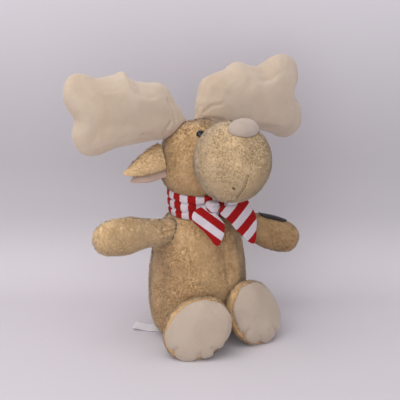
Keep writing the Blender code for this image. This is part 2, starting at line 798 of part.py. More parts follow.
def build_antler(side, head, clear_skull, looks):
    """A puffy palm with rounded lobes, seated by its root in the side of the head."""
    name = side_name(side)
    lift = RIGHT_ANTLER_LIFT if side < 0 else LEFT_ANTLER_LIFT
    rise = ANTLER_ROOT_RISE + (LEFT_ANTLER_EXTRA_RISE if side > 0 else 0.0)
    root = Vector((side * ANTLER_ROOT_OUT, ANTLER_ROOT_BACK, rise))
    outward = Vector((side * math.cos(lift), math.sin(ANTLER_SWEEP), math.sin(lift)))
    upward = Vector((-side * math.sin(lift), 0.0, math.cos(lift)))
    normal = outward.cross(upward)
    place = aim(root, normal, outward)
    shares = RIGHT_ANTLER_SHARES if side < 0 else LEFT_ANTLER_SHARES
    along_share, up_share = ANTLER_MIDDLE_SHARES
    middle = Vector((along_share * ANTLER_LENGTH, up_share * ANTLER_HEIGHT, 0.0))
    drawn = cornered(outline_points(shares, ANTLER_LENGTH, ANTLER_HEIGHT), ANTLER_CORNER_SHARE)
    outline = [middle + (point - middle) * ANTLER_RIM_GAIN_SHARE for point in drawn]
    mesh = pillow_cage(
        "antler_cage", outline, middle, ANTLER_INNER_SHARE, ANTLER_CROWN_SHARE, ANTLER_THICKNESS
    )
    openings = [antler_mouth(name, place, head), clear_skull]
    stuffed(name + "_antler", mesh, place, head, looks["antler"], looks["filling"], openings)


def antler_mouth(name, place, head):
    """The opening through which an antler is stuffed, in its seam with the head."""
    along_share, up_share = ANTLER_MOUTH_SHARES
    inside = place @ Vector((along_share * ANTLER_LENGTH, up_share * ANTLER_HEIGHT, 0.0))
    centre = skull_place().translation
    inward = centre - inside
    mesh = rod_mesh(name + "_antler_mouth", ANTLER_MOUTH_RADIUS, inward.length)
    mouth_at = aim((centre + inside) / 2, inward, (1.0, 0.0, 0.0))
    return add_object(name + "_antler_mouth", mesh, mouth_at, None, head)


def build_arm(side, looks):
    """A paddle arm whose round root turns in the trunk's side."""
    name = side_name(side)
    raised = RIGHT_ARM_RAISE if side < 0 else LEFT_ARM_RAISE
    swung = RIGHT_ARM_FORWARD if side < 0 else LEFT_ARM_FORWARD
    arm = pivot(name + "_arm_pivot", shoulder(side))
    flat = math.cos(raised)
    outward = (side * flat * math.cos(swung), -flat * math.sin(swung), math.sin(raised))
    place = aim((0.0, 0.0, 0.0), outward, (0.0, 0.0, 1.0))
    sections = limb_sections(
        ARM_ROOT_RADIUS, ARM_LENGTH, ARM_HAND_HEIGHT, ARM_HAND_THICKNESS, ARM_SECTION_SHARES
    )
    mesh = swelling_cage("arm_cage", LIMB_SEGMENTS, sections)
    opening = root_opening(name + "_arm_opening", arm, place, ARM_ROOT_RADIUS)
    trunk = trunk_guide(name + "_arm", shoulder(side), ARM_ROOT_RADIUS + SEAT_GAP - GAP)
    stuffed(name + "_arm", mesh, place, arm, looks["plush"], looks["filling"], [trunk, opening])
    if side > 0:
        build_arm_tag(arm, mesh, place, looks)


def build_arm_tag(arm, mesh, place, looks):
    """A bare satin tag that lies round the top of the arm."""
    flat = rod_mesh("tag_outline", ARM_TAG_WIDTH / 2, ARM_HAND_HEIGHT, CUP_SEGMENTS)
    flat.transform(Matrix.Diagonal((ARM_TAG_LENGTH / ARM_TAG_WIDTH, 1.0, 1.0, 1.0)))
    along = ARM_LENGTH * ARM_TAG_PLACE_SHARE
    above = Matrix.Translation((ARM_HAND_HEIGHT / 2, 0.0, along)) @ Matrix.Rotation(math.pi / 2, 4, "Y")
    tag = add_object("arm_tag", flat, place @ above, looks["satin"], arm)
    outer = grow(soften(add_object("tag_face", mesh, place, None, arm)), GAP + ARM_TAG_THICKNESS)
    inner = grow(soften(add_object("tag_back", mesh, place, None, arm)), GAP)
    combine(tag, outer, "INTERSECT")
    cut(tag, inner)


def root_opening(name, parent, place, root_radius):
    """The hole at a limb's inner end, through which it is stuffed."""
    mesh = rod_mesh(name, root_radius * ROOT_OPENING_SHARE, root_radius, CUP_SEGMENTS)
    return add_object(name, mesh, place @ Matrix.Translation((0.0, 0.0, -root_radius)), None, parent)


def leg_place(side):
    """The leg's frame in its pivot's: Z along the leg towards the sole."""
    splay = RIGHT_LEG_SPLAY if side < 0 else LEFT_LEG_SPLAY
    roll = RIGHT_FOOT_ROLL if side < 0 else LEFT_FOOT_ROLL
    tilt = RIGHT_FOOT_TILT if side < 0 else LEFT_FOOT_TILT
    level = math.cos(tilt)
    forward = (side * level * math.sin(splay), -level * math.cos(splay), math.sin(tilt))
    return aim((0.0, 0.0, 0.0), forward, (0.0, 0.0, 1.0)) @ Matrix.Rotation(roll, 4, "Z")


def build_leg(side, floor, looks):
    """A short leg that swells into an open-fronted foot, closed by its sole."""
    name = side_name(side)
    leg = pivot(name + "_leg_pivot", hip(side))
    place = leg_place(side)
    sections = limb_sections(LEG_ROOT_RADIUS, LEG_LENGTH, FOOT_LENGTH, FOOT_WIDTH, LEG_SECTION_SHARES)
    mesh = swelling_cage("leg_cage", LIMB_SEGMENTS, sections)
    side_length = FOOT_LENGTH + FOOT_WIDTH
    front = block_mesh(name + "_foot_front", (side_length, side_length, LEG_LENGTH))
    front_at = place @ Matrix.Translation((0.0, 0.0, LEG_LENGTH * 3 / 2))
    front_guide = add_object(name + "_foot_front", front, front_at, None, leg)
    opening = root_opening(name + "_leg_opening", leg, place, LEG_ROOT_RADIUS)
    swing = RIGHT_LEG_SWING if side < 0 else LEFT_LEG_SWING
    kept_radius = LEG_ROOT_RADIUS + SEAT_GAP - 2 * GAP
    trunk = trunk_guide(name + "_leg", hip(side), kept_radius, -side * swing)
    openings = [front_guide, trunk, opening, floor]
    stuffed(name + "_leg", mesh, place, leg, looks["plush"], looks["filling"], openings)
    sole_at = place @ Matrix.Translation((0.0, 0.0, LEG_LENGTH + GAP))
    cut(soften(add_object(name + "_sole", sole_cage(), sole_at, looks["cream"], leg)), floor)


def sole_cage():
    """A flat-backed oval cushion whose toe edge is drawn in by stitched tucks."""
    rows = SOLE_SECTION_SHARES
    step = 2 * math.pi / SOLE_SEGMENTS

    def place(row, turn):
        along, spread = rows[row]
        tucked = 1.0 - (TOE_TUCK_DEPTH_SHARE if turn in TOE_TUCK_STEPS else 0.0)
        reach = spread * tucked * CAGE_GAIN_SHARE
        across = math.cos(turn * step) * FOOT_LENGTH / 2 * reach
        deep = math.sin(turn * step) * FOOT_WIDTH / 2 * reach
        return Vector((across, deep, along * SOLE_THICKNESS))

    return ball_cage("sole_cage", SOLE_SEGMENTS, len(rows) - 1, place)


def build_scarf(looks):
    """A gathered band round the neck, the knot under the muzzle and two short tails."""
    profile = [
        (SCARF_INNER_RADIUS + out * SCARF_THICKNESS, up * SCARF_HEIGHT)
        for out, up in SCARF_PROFILE_SHARES
    ]
    band = turned_mesh("scarf_band", profile, SCARF_STEPS)
    band_at = Matrix.Translation((0.0, 0.0, SCARF_BOTTOM)) @ Matrix.Rotation(SCARF_TILT, 4, "X")
    trunk = grow(soften(add_object("trunk_with_gap", torso_cage(), Matrix.Identity(4))), GAP)
    cut(add_object("scarf_band", band, band_at, looks["cotton"]), trunk)
    wide_profile = [
        (SCARF_INNER_RADIUS - GAP, SCARF_HEIGHT + GAP),
        (SCARF_INNER_RADIUS + SCARF_THICKNESS + GAP, SCARF_HEIGHT + GAP),
        (SCARF_INNER_RADIUS + SCARF_THICKNESS + GAP, -GAP),
        (SCARF_INNER_RADIUS - GAP, -GAP),
    ]
    wide_band = add_object("band_with_gap", turned_mesh("wide_band", wide_profile, SCARF_STEPS), band_at)
    bow = pivot("bow_pivot", (KNOT_SIDE, -KNOT_FORWARD, KNOT_RISE))
    no_turn = Matrix.Identity(4)
    knot = add_object("bow_knot", knot_mesh(KNOT_WIDTH, KNOT_THICKNESS), no_turn, looks["cotton"], bow)
    cut(knot, wide_band)
    wide_knot_mesh = knot_mesh(KNOT_WIDTH + 2 * SEAT_GAP, KNOT_THICKNESS + 2 * SEAT_GAP)
    wide_knot = add_object("knot_with_gap", wide_knot_mesh, no_turn, None, bow)
    build_tail("right", RIGHT_TAIL_SHARES, RIGHT_TAIL_FACING, bow, wide_knot, looks)
    build_tail("left", LEFT_TAIL_SHARES, LEFT_TAIL_FACING, bow, wide_knot, looks)


def knot_mesh(width, thickness):
    """A round knot, wider than it is thick."""
    mesh = ball_mesh("knot_form", thickness / 2)
    mesh.transform(Matrix.Rotation(math.pi / 2, 4, "Y"))
    mesh.transform(Matrix.Diagonal((width / thickness, 1.0, 1.0, 1.0)))
    return mesh


def build_tail(name, shares, facing, bow, wide_knot, looks):
    """One end of the scarf, spread out below the knot."""
    normal = Vector((math.sin(facing), -math.cos(facing), math.tan(TAIL_LEAN)))
    across = Vector((math.cos(facing), math.sin(facing), 0.0))
    place = aim(normal.normalized() * TAIL_FORWARD, normal, across)
    outline = outline_points(shares, TAIL_LENGTH, TAIL_LENGTH)
    middle = sum(outline, Vector()) / len(outline)
    mesh = pillow_cage(
        name + "_tail", outline, middle, TAIL_INNER_SHARE, TAIL_CROWN_SHARE, TAIL_THICKNESS
    )
    tail = soften(add_object(name + "_bow_tail", mesh, place, looks["cotton"], bow))
    cut(tail, wide_knot)


def build_care_label(looks):
    """A bare satin label that lies on the floor, sewn in low at the trunk's right side."""
    size = (CARE_LABEL_LENGTH, CARE_LABEL_WIDTH, CARE_LABEL_THICKNESS)
    mesh = block_mesh("care_label", size)
    bearing = Vector((math.cos(CARE_LABEL_BEARING), math.sin(CARE_LABEL_BEARING), 0.0))
    root = bearing * CARE_LABEL_ROOT
    turn = Matrix.Rotation(CARE_LABEL_BEARING + CARE_LABEL_SLANT, 4, "Z")
    along = turn @ Matrix.Translation((CARE_LABEL_LENGTH / 2, 0.0, CARE_LABEL_THICKNESS / 2 + GAP))
    add_object("care_label", mesh, Matrix.Translation(root) @ along, looks["label"])


def all_looks():
    """The toy's cloths and hard pieces."""
    return {
        "plush": fabric("tan_plush", (0.50, 0.33, 0.16), 0.95),
        "muzzle": fabric("pale_plush", (0.52, 0.37, 0.19), 0.95),
        "cream": fabric("cream_cloth", (0.62, 0.52, 0.40), 0.9),
        "antler": fabric("antler_plush", (0.66, 0.55, 0.42), 0.95),
        "lining": fabric("ear_lining", (0.68, 0.50, 0.42), 0.9),
        "cotton": fabric("striped_cotton", (0.55, 0.03, 0.04), 0.9),
        "filling": fabric("polyester_filling", (0.85, 0.85, 0.82), 1.0),
        "pellets": fabric("pellet_cloth", (0.7, 0.7, 0.68), 0.9),
        "bead": fabric("black_plastic", (0.01, 0.01, 0.01), 0.15),
        "satin": fabric("black_satin", (0.02, 0.02, 0.025), 0.4),
        "label": fabric("white_satin", (0.85, 0.85, 0.85), 0.5),
    }


def main():
    """Builds the toy."""
    start_scene()
    looks = all_looks()
    floor = floor_guide()
    build_torso(looks, floor)
    head, cover, filling, outer_skull, outer_muzzle, clear_skull = build_head(looks)
    build_nose(head, outer_muzzle, looks)
    for side in (-1, 1):
        build_eye(side, head, cover, filling, outer_skull, outer_muzzle, looks)
        build_ear(side, head, clear_skull, looks)
        build_antler(side, head, clear_skull, looks)
        build_arm(side, looks)
        build_leg(side, floor, looks)
    build_scarf(looks)
    build_care_label(looks)


main()
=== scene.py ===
"""Sitting plush moose: short tan pile, puffy cream antlers, round muzzle and a striped scarf."""

import math

import bmesh
import bpy
import numpy as np
from mathutils import Matrix, Vector, noise
from mathutils.bvhtree import BVHTree


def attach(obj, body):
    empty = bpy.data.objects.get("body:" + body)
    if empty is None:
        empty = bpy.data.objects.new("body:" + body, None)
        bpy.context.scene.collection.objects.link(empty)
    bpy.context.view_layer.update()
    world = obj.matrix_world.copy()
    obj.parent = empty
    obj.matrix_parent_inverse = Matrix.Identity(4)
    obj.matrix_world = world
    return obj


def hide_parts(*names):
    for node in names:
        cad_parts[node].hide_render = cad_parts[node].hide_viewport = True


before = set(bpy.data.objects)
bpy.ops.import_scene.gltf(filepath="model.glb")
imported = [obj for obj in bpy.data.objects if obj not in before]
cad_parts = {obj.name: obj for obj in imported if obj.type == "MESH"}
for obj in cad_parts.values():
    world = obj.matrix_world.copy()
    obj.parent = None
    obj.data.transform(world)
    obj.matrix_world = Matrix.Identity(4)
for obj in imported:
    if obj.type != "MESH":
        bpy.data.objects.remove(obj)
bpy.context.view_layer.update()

SIDEWAYS = (1.0, 0.0, 0.0)
UPWARDS = (0.0, 0.0, 1.0)

# The toy's sizes in metres; a row is (share of height, width, depth, shift)
GAP = 0.0003
SEAT_GAP = 0.0009
FLOOR_GAP = 0.0004
TORSO = (0.079, 0.074, 0.109)
TORSO_BASE = -0.0005
TORSO_ROWS = (
    (0.0, 0.0, 0.0, 0.02), (0.0, 0.76, 0.72, 0.02), (0.14, 1.09, 1.03, 0.02), (0.45, 1.15, 1.06, 0.0),
    (0.75, 1.04, 0.94, -0.01), (0.91, 0.80, 0.72, -0.01), (0.965, 0.40, 0.42, 0.0), (1.0, 0.0, 0.0, 0.0),
)
NECK = Vector((0.0, 0.0, 0.1105))
NECK_RADIUS = 0.0165
SKULL = (0.058, 0.056, 0.058)
SKULL_RISE = 0.0365
SKULL_PITCH = math.radians(12)
MUZZLE = (0.0545, 0.0625, 0.0600)
MUZZLE_AT = Vector((-0.0005, -0.0456, 0.0430))
MUZZLE_PITCH = math.radians(28)
HEAD_ROWS = (
    (0.0, 0.0, 0.0, 0.0), (0.0, 0.60, 0.60, 0.0), (0.30, 1.06, 1.05, 0.0),
    (0.70, 1.06, 1.05, 0.0), (1.0, 0.60, 0.60, 0.0), (1.0, 0.0, 0.0, 0.0),
)
JOWL = 0.0026
NOSE = (0.0255, 0.0185, 0.0075)
NOSE_TILT = math.radians(64)
EYE = (0.0075, 0.0055)
EYE_OUT = math.radians(27)
EYE_UP = math.radians(52)
EYE_SHANK = (0.0011, 0.0075)
SHOULDER = (0.0295, 0.0, 0.0925)
ARM_LENGTH = 0.069
ARM_ROOT = 0.0100
HAND = (0.030, 0.021)
ARM_ROWS = ((0.28, 0.64, 0.86), (0.66, 1.10, 1.10), (0.96, 0.76, 0.72), (1.0, 0.0, 0.0))
RIGHT_ARM_SWELL = 0.0018
HIP = (0.0215, -0.0290, 0.0215)
LEG_LENGTH = 0.020
LEG_ROOT = 0.0120
FOOT = (0.0575, 0.046)
LEG_ROWS = ((0.34, 0.66, 0.72), (0.74, 1.08, 1.08), (1.12, 1.06, 1.06), (1.26, 0.0, 0.0))
ROOT_ROWS = ((-1.0, 0.0), (-0.84, 0.66), (0.10, 1.12))
CAGE_GAIN = 1.035
EAR = (0.0395, 0.0265, 0.0075)
EAR_OUTLINE = (
    (0.00, -0.38), (0.24, -0.43), (0.52, -0.37), (0.80, -0.23), (0.99, -0.10),
    (1.00, 0.03), (0.86, 0.10), (0.56, 0.23), (0.26, 0.33), (0.00, 0.30),
)
EAR_DROOP = math.radians(16)
EAR_FOLD = math.radians(38)
EAR_CUP = 0.0016
EAR_LINING_SHARE = 0.86
EAR_LINING_DROP = 0.0066
EAR_CLEARANCE = 0.0011
ANTLER = (0.089, 0.072, 0.031)
ANTLER_CENTRE = (0.42, 0.30)
ANTLER_CLEARANCE = 0.0010
RIGHT_ANTLER_OUTLINE = (
    (-0.20, 0.01), (0.06, -0.06), (0.33, -0.05), (0.57, -0.09), (0.73, -0.13), (0.84, -0.10),
    (0.91, 0.00), (0.935, 0.12), (0.915, 0.25), (0.95, 0.32), (1.00, 0.43), (1.02, 0.55),
    (0.99, 0.69), (0.91, 0.745), (0.80, 0.73), (0.66, 0.685), (0.575, 0.70), (0.505, 0.765),
    (0.425, 0.745), (0.37, 0.635), (0.24, 0.60), (0.12, 0.60), (0.03, 0.55), (-0.05, 0.43),
    (-0.12, 0.27), (-0.19, 0.14),
)
LEFT_ANTLER_OUTLINE = (
    (-0.20, 0.03), (0.10, -0.06), (0.36, -0.08), (0.60, -0.10), (0.72, -0.16), (0.85, -0.185),
    (0.97, -0.13), (1.04, -0.02), (1.04, 0.14), (1.00, 0.27), (0.93, 0.38), (0.965, 0.49),
    (0.955, 0.63), (0.90, 0.755), (0.80, 0.815), (0.68, 0.815), (0.56, 0.77), (0.49, 0.68),
    (0.40, 0.675), (0.30, 0.71), (0.22, 0.73), (0.13, 0.70), (0.06, 0.61), (-0.10, 0.56),
    (-0.18, 0.48), (-0.19, 0.30), (-0.20, 0.14),
)
SCARF_RADIUS = 0.0202
SCARF_THICK = 0.0048
SCARF_TALL = 0.0206
SCARF_BOTTOM = 0.1030
SCARF_TILT = math.radians(4)
ROLL_DEPTH = 0.42
ROLL_WIDTH = 0.042
STRIPE_PAIR = 30.0
KNOT = Vector((-0.0060, -0.0280, 0.1140))
KNOT_SIZE = (0.0135, 0.0115)
KNOT_SHAPE = (KNOT_SIZE[0] / KNOT_SIZE[1], 1.0, 1.0)
TAIL = 0.0385
TAIL_LEAN = math.radians(14)
RIGHT_TAIL_OUTLINE = (
    (0.02, 0.04), (-0.16, 0.05), (-0.40, -0.07), (-0.41, -0.25),
    (-0.18, -0.49), (0.08, -0.77), (0.23, -0.38), (0.08, -0.14),
)
LEFT_TAIL_OUTLINE = (
    (0.02, 0.02), (0.06, -0.10), (0.25, -0.30), (0.53, -0.65),
    (0.82, -0.87), (0.93, -0.38), (0.78, 0.02), (0.42, -0.02),
)
TAG = (0.010, 0.026)
LABEL = (0.013, 0.026)

# Seams, pleats and creases, by the pixels where the picture shows them
TORSO_SEAMS = (-86.0, 5.0, 88.0, 180.0)
BELLY_CREASE = ((185, 240), (188, 256), (193, 266), (200, 275))
MOUTH = ((248, 176), (246.5, 181), (245, 186), (241.5, 192), (237, 197.5))
LIP_DOT = ((232.6, 188.0), (234.0, 188.9))
MUZZLE_CREASES = (
    (((201, 172), (215, 173), (230, 174.5)), 0.0007),
    (((257, 165), (268, 165)), 0.0007),
    (((233, 188), (233.4, 188.4)), 0.0011),
)
ARM_PLEATS = {
    "right": (
        ((177, 221), (170, 225), (163, 227)),
        ((178, 229), (171, 231), (163, 233)),
        ((176, 238), (169, 239), (162, 239)),
    ),
    "left": (((247, 226), (254, 229)), ((247, 236), (254, 238))),
}
ROOT_PLEATS = {
    "right": (
        ((164, 134), (167, 129), (171, 122)),
        ((160, 138), (152, 135), (143, 135)),
        ((176, 121), (173, 110), (168, 100)),
    ),
    "left": (
        ((205, 119), (213, 118), (222, 121)),
        ((204, 112), (212, 106), (222, 104)),
    ),
}
TOE_TUCKS = {
    "right": ((169, 352), (201, 357), (216, 351)),
    "left": ((238.5, 336), (255, 342), (271, 329)),
}
SOLE_DOT = ((268.0, 329.4), (269.4, 330.6))

# Finishes: (look of the skin, look of its pile, name, light, dark, patches per metre, crackle: how
# strongly thin partings are darkened as painted shade)
FURS = (
    ("plush", "pile", "tan_plush", (0.70, 0.46, 0.235), (0.60, 0.375, 0.18), 34, 0.6),
    # The second row is the tan plush painted lighter, as painted light for the stronger light on the right
    # arm and the ears
    ("painted_lit_plush", "painted_lit_pile", "painted_lit_plush", (0.92, 0.66, 0.375), (0.85, 0.585, 0.31), 34, 0.6),
    ("muzzle", "muzzle_pile", "muzzle", (0.72, 0.545, 0.33), (0.66, 0.48, 0.28), 38, 0.5),
)
# (look, name, light, dark, patches and specks per metre, depth of specks, relief, sheen)
NAPS = (
    ("antler", "antler_plush", (0.62, 0.51, 0.40), (0.55, 0.435, 0.325), 30, 1500, 0.12, 0.0003, 0.35),
    ("sole", "sole_cloth", (0.51, 0.42, 0.34), (0.455, 0.365, 0.285), 34, 1500, 0.15, 0.0003, 0.3),
    ("nose", "nose_cloth", (0.49, 0.41, 0.35), (0.43, 0.35, 0.29), 60, 1600, 0.1, 0.0002, 0.3),
    # The lining's colour is its own pinkish tone, darkened further as painted shade under the ear
    ("lining", "ear_lining_cloth", (0.52, 0.38, 0.31), (0.42, 0.295, 0.235), 60, 1500, 0.2, 0.0003, 0.2),
)
# (look, name, light, dark, grains per metre, roughness, relief, sheen, specular, coat)
PLAINS = (
    ("bead", "black_bead", (0.012, 0.010, 0.010), (0.006, 0.005, 0.005), 400, 0.16, 2e-5, 0, 0.25, 0.15),
    ("satin", "black_satin", (0.016, 0.014, 0.015), (0.006, 0.005, 0.006), 900, 0.38, 1e-4, 0, 0.3),
    ("label", "white_satin", (0.86, 0.85, 0.86), (0.74, 0.73, 0.75), 700, 0.45, 1e-4, 0.2),
    ("filling", "white_filling", (0.85, 0.85, 0.83), (0.72, 0.72, 0.70), 300, 1.0, 1e-3, 0.3),
    ("thread", "dark_thread", (0.13, 0.09, 0.045), (0.07, 0.045, 0.02), 900, 0.8, 1e-4),
    ("pale_thread", "pale_thread", (0.42, 0.33, 0.26), (0.30, 0.23, 0.17), 900, 0.8, 1e-4),
)

# Filling of the sewn bags: steps of relaxing, the reach of a filling, and the puffing cloth
FILL_STEPS = 1600
FILLING_REACH = 0.012
CLOTH_FRAMES = 20
CLOTH = {
    "use_pressure": True,
    "quality": 6,
    "tension_stiffness": 18.0,
    "compression_stiffness": 12.0,
    "bending_stiffness": 0.08,
}


def toward(bearing, rise):
    """A unit vector at a bearing from straight ahead, which is -Y, and at a rise above level."""
    level = math.cos(rise)
    return Vector((math.sin(bearing) * level, -math.cos(bearing) * level, math.sin(rise)))


# Where the picture was taken from
VIEW_AZIMUTH = math.radians(-36)
VIEW_DISTANCE = 0.8
VIEW_TARGET = Vector((0.0, 0.0, 0.112))
VIEW_BACK = toward(VIEW_AZIMUTH, math.radians(17))
PICTURE_CENTRE = (197.0, 200.0)
PIXELS_PER_UNIT = 1000


def plain_mesh(name, points, faces):
    """A smooth-shaded mesh from points and faces."""
    mesh = bpy.data.meshes.new(name)
    mesh.from_pydata([tuple(p) for p in points], [], faces)
    mesh.validate()
    mesh.shade_smooth()
    return mesh


def helper(mesh, modifiers=()):
    """A short-lived object with modifiers, each given as (kind, settings)."""
    obj = bpy.data.objects.new("helper", mesh)
    bpy.context.scene.collection.objects.link(obj)
    for kind, settings in modifiers:
        modifier = obj.modifiers.new(kind.lower(), kind)
        for key, value in settings.items():
            setattr(modifier, key, value)
    return obj


def baked(obj):
    """The object's mesh with its modifiers applied; the object is removed."""
    depsgraph = bpy.context.evaluated_depsgraph_get()
    mesh = bpy.data.meshes.new_from_object(obj.evaluated_get(depsgraph))
    bpy.data.objects.remove(obj, do_unlink=True)
    return mesh


def rounded(mesh, level):
    """A cage rounded by a subdivision surface."""
    return baked(helper(mesh, [("SUBSURF", {"levels": level, "render_levels": level})]))


def grown(mesh, distance):
    """A copy of a form with its surface moved outwards."""
    return baked(helper(mesh, [("DISPLACE", {"mid_level": 0.0, "strength": distance})]))


def placed(mesh, matrix):
    """A copy of a mesh, moved."""
    copy = mesh.copy()
    copy.transform(matrix)
    return copy


def worked(mesh, other, operation):
    """Boolean of two closed forms."""
    tool = helper(other)
    settings = {"operation": operation, "solver": "EXACT", "object": tool}
    result = baked(helper(mesh, [("BOOLEAN", settings)]))
    bpy.data.objects.remove(tool, do_unlink=True)
    result.shade_smooth()
    return result


def cut(mesh, *others):
    """Takes the other forms away."""
    for other in others:
        mesh = worked(mesh, other, "DIFFERENCE")
    return mesh


def points_of(mesh):
    """A mesh's points and normals as arrays."""
    points = np.empty(len(mesh.vertices) * 3)
    mesh.vertices.foreach_get("co", points)
    normals = np.empty(len(mesh.vertices) * 3)
    mesh.vertex_normals.foreach_get("vector", normals)
    return points.reshape(-1, 3), normals.reshape(-1, 3)


def set_points(mesh, points):
    """Writes points back."""
    mesh.vertices.foreach_set("co", np.ascontiguousarray(points).ravel())
    mesh.update()


def lumpy(points, normals, size, depth, seed):
    """Uneven filling: pushes points in and out along their normals."""
    offset = Vector((seed * 3.1, seed * 1.7, seed * 0.9))
    amount = [noise.noise(Vector(p) / size + offset) for p in points]
    return points + normals * np.array(amount)[:, None] * depth


def line_distance(points, line):
    """Distance of each point from a line of points."""
    best = np.full(len(points), 1e9)
    for a, b in zip(line[:-1], line[1:]):
        a, b = np.array(a), np.array(b)
        along = np.clip(((points - a) @ (b - a)) / max((b - a) @ (b - a), 1e-12), 0, 1)
        best = np.minimum(best, np.linalg.norm(points - a - along[:, None] * (b - a), axis=1))
    return best


def pressed(points, normals, line, width, depth):
    """Presses a seam or crease into a surface along a line."""
    push = np.exp(-((line_distance(points, line) / width) ** 2)) * depth
    return points - normals * push[:, None]


def made_mesh(bm, name):
    """A smooth-shaded mesh from a finished bmesh."""
    mesh = bpy.data.meshes.new(name)
    bm.to_mesh(mesh)
    bm.free()
    mesh.shade_smooth()
    return mesh


def ball_cage(segments, rows, place):
    """A sphere whose points are moved by place(row, turn), row 0 at the lower pole."""
    bm = bmesh.new()
    bmesh.ops.create_uvsphere(bm, u_segments=segments, v_segments=rows, radius=1.0)
    step = 2 * math.pi / segments
    for vertex in bm.verts:
        row = rows - round(math.acos(max(-1.0, min(1.0, vertex.co.z))) / math.pi * rows)
        turn = round(math.atan2(vertex.co.y, vertex.co.x) / step) % segments
        vertex.co = place(row, turn)
    return made_mesh(bm, "cage")


def swelling_cage(segments, sections):
    """A round form along Z from rows of (along, half width, half depth, shift)."""
    step = 2 * math.pi / segments

    def place(row, turn):
        along, half_width, half_depth, shift = sections[row]
        across = math.cos(turn * step) * half_width * CAGE_GAIN
        deep = math.sin(turn * step) * half_depth * CAGE_GAIN
        return Vector((across, deep + shift, along))

    return ball_cage(segments, len(sections) - 1, place)


def body_rows(shares, size, base):
    """Rows of a body form from shares of its width, depth and height."""
    width, depth, height = size
    return [(base + a * height, w * width / 2, d * depth / 2, s * depth) for a, w, d, s in shares]


def limb_rows(root, length, size, shares):
    """Rows of a limb: a round inner end, a narrow root and a swelling outer end."""
    rows = [(along * root, width * root, width * root, 0.0) for along, width in ROOT_ROWS]
    rows += [(along * length, a * size[0] / 2, b * size[1] / 2, 0.0) for along, a, b in shares]
    return rows


def ball(radius, segments=48, rings=32, shape=(1.0, 1.0, 1.0)):
    """A sphere, or an oval one."""
    bm = bmesh.new()
    bmesh.ops.create_uvsphere(bm, u_segments=segments, v_segments=rings, radius=radius)
    bmesh.ops.scale(bm, vec=shape, verts=bm.verts)
    return made_mesh(bm, "ball")


def rod(radius, length, segments=24):
    """A cylinder along Z about its centre."""
    bm = bmesh.new()
    size = {"radius1": radius, "radius2": radius, "depth": length}
    bmesh.ops.create_cone(bm, cap_ends=True, segments=segments, **size)
    return made_mesh(bm, "rod")


def block(size):
    """A box about its centre."""
    bm = bmesh.new()
    bmesh.ops.create_cube(bm, size=1.0)
    bmesh.ops.scale(bm, vec=size, verts=bm.verts)
    return made_mesh(bm, "block")


def aim(location, along, up):
    """A frame whose Z runs along a direction, with X as near to the second one as it can be."""
    axis_z = Vector(along).normalized()
    axis_y = axis_z.cross(Vector(up)).normalized()
    axis_x = axis_y.cross(axis_z)
    turn = Matrix((axis_x, axis_y, axis_z)).transposed().to_4x4()
    return Matrix.Translation(location) @ turn


def smooth_outline(shares, size, count):
    """A closed smooth curve through outline points, evenly stepped."""
    knots = np.array(shares) * np.array(size)
    curve = []
    for i in range(len(knots)):
        a, b, c, d = (knots[(i + k) % len(knots)] for k in (-1, 0, 1, 2))
        square, cube = 2 * a - 5 * b + 4 * c - d, 3 * b - a - 3 * c + d
        for t in np.linspace(0, 1, 16, endpoint=False):
            curve.append(0.5 * (2 * b + (c - a) * t + square * t * t + cube * t**3))
    curve = np.array(curve)
    lengths = np.linalg.norm(np.roll(curve, -1, 0) - curve, axis=1)
    marks = np.concatenate([[0], np.cumsum(lengths)])
    closed = np.vstack([curve, curve[:1]])
    steps = np.linspace(0, marks[-1], count, endpoint=False)
    return np.column_stack([np.interp(steps, marks, closed[:, k]) for k in (0, 1)])


def fill_heights(outline, cell):
    """How high a cloth bag with this outline swells over each cell, from 0 to 1."""
    low = outline.min(0) - 3 * cell
    count = np.ceil((outline.max(0) + 3 * cell - low) / cell).astype(int)
    xs = low[0] + np.arange(count[0]) * cell
    ys = low[1] + np.arange(count[1]) * cell
    grid_x, grid_y = np.meshgrid(xs, ys, indexing="ij")
    inside = np.zeros(grid_x.shape, bool)
    for (ax, ay), (bx, by) in zip(outline, np.roll(outline, -1, 0)):
        crosses = (ay > grid_y) != (by > grid_y)
        with np.errstate(divide="ignore", invalid="ignore"):
            at = ax + (grid_y - ay) * (bx - ax) / (by - ay)
        inside ^= crosses & (grid_x < at)
    level = np.zeros(grid_x.shape)
    for _ in range(FILL_STEPS):
        around = np.roll(level, 1, 0) + np.roll(level, -1, 0)
        around = around + np.roll(level, 1, 1) + np.roll(level, -1, 1)
        level = np.where(inside, around / 4 + cell * cell, 0.0)
    return low, cell, np.sqrt(level / level.max())


def height_at(field, points):
    """Reads the swelling at points."""
    low, cell, level = field
    at = (points - low) / cell
    base = np.clip(np.floor(at).astype(int), 0, np.array(level.shape) - 2)
    frac = at - base
    i, j = base[:, 0], base[:, 1]
    fx, fy = frac[:, 0], frac[:, 1]
    return (
        level[i, j] * (1 - fx) * (1 - fy)
        + level[i + 1, j] * fx * (1 - fy)
        + level[i, j + 1] * (1 - fx) * fy
        + level[i + 1, j + 1] * fx * fy
    )


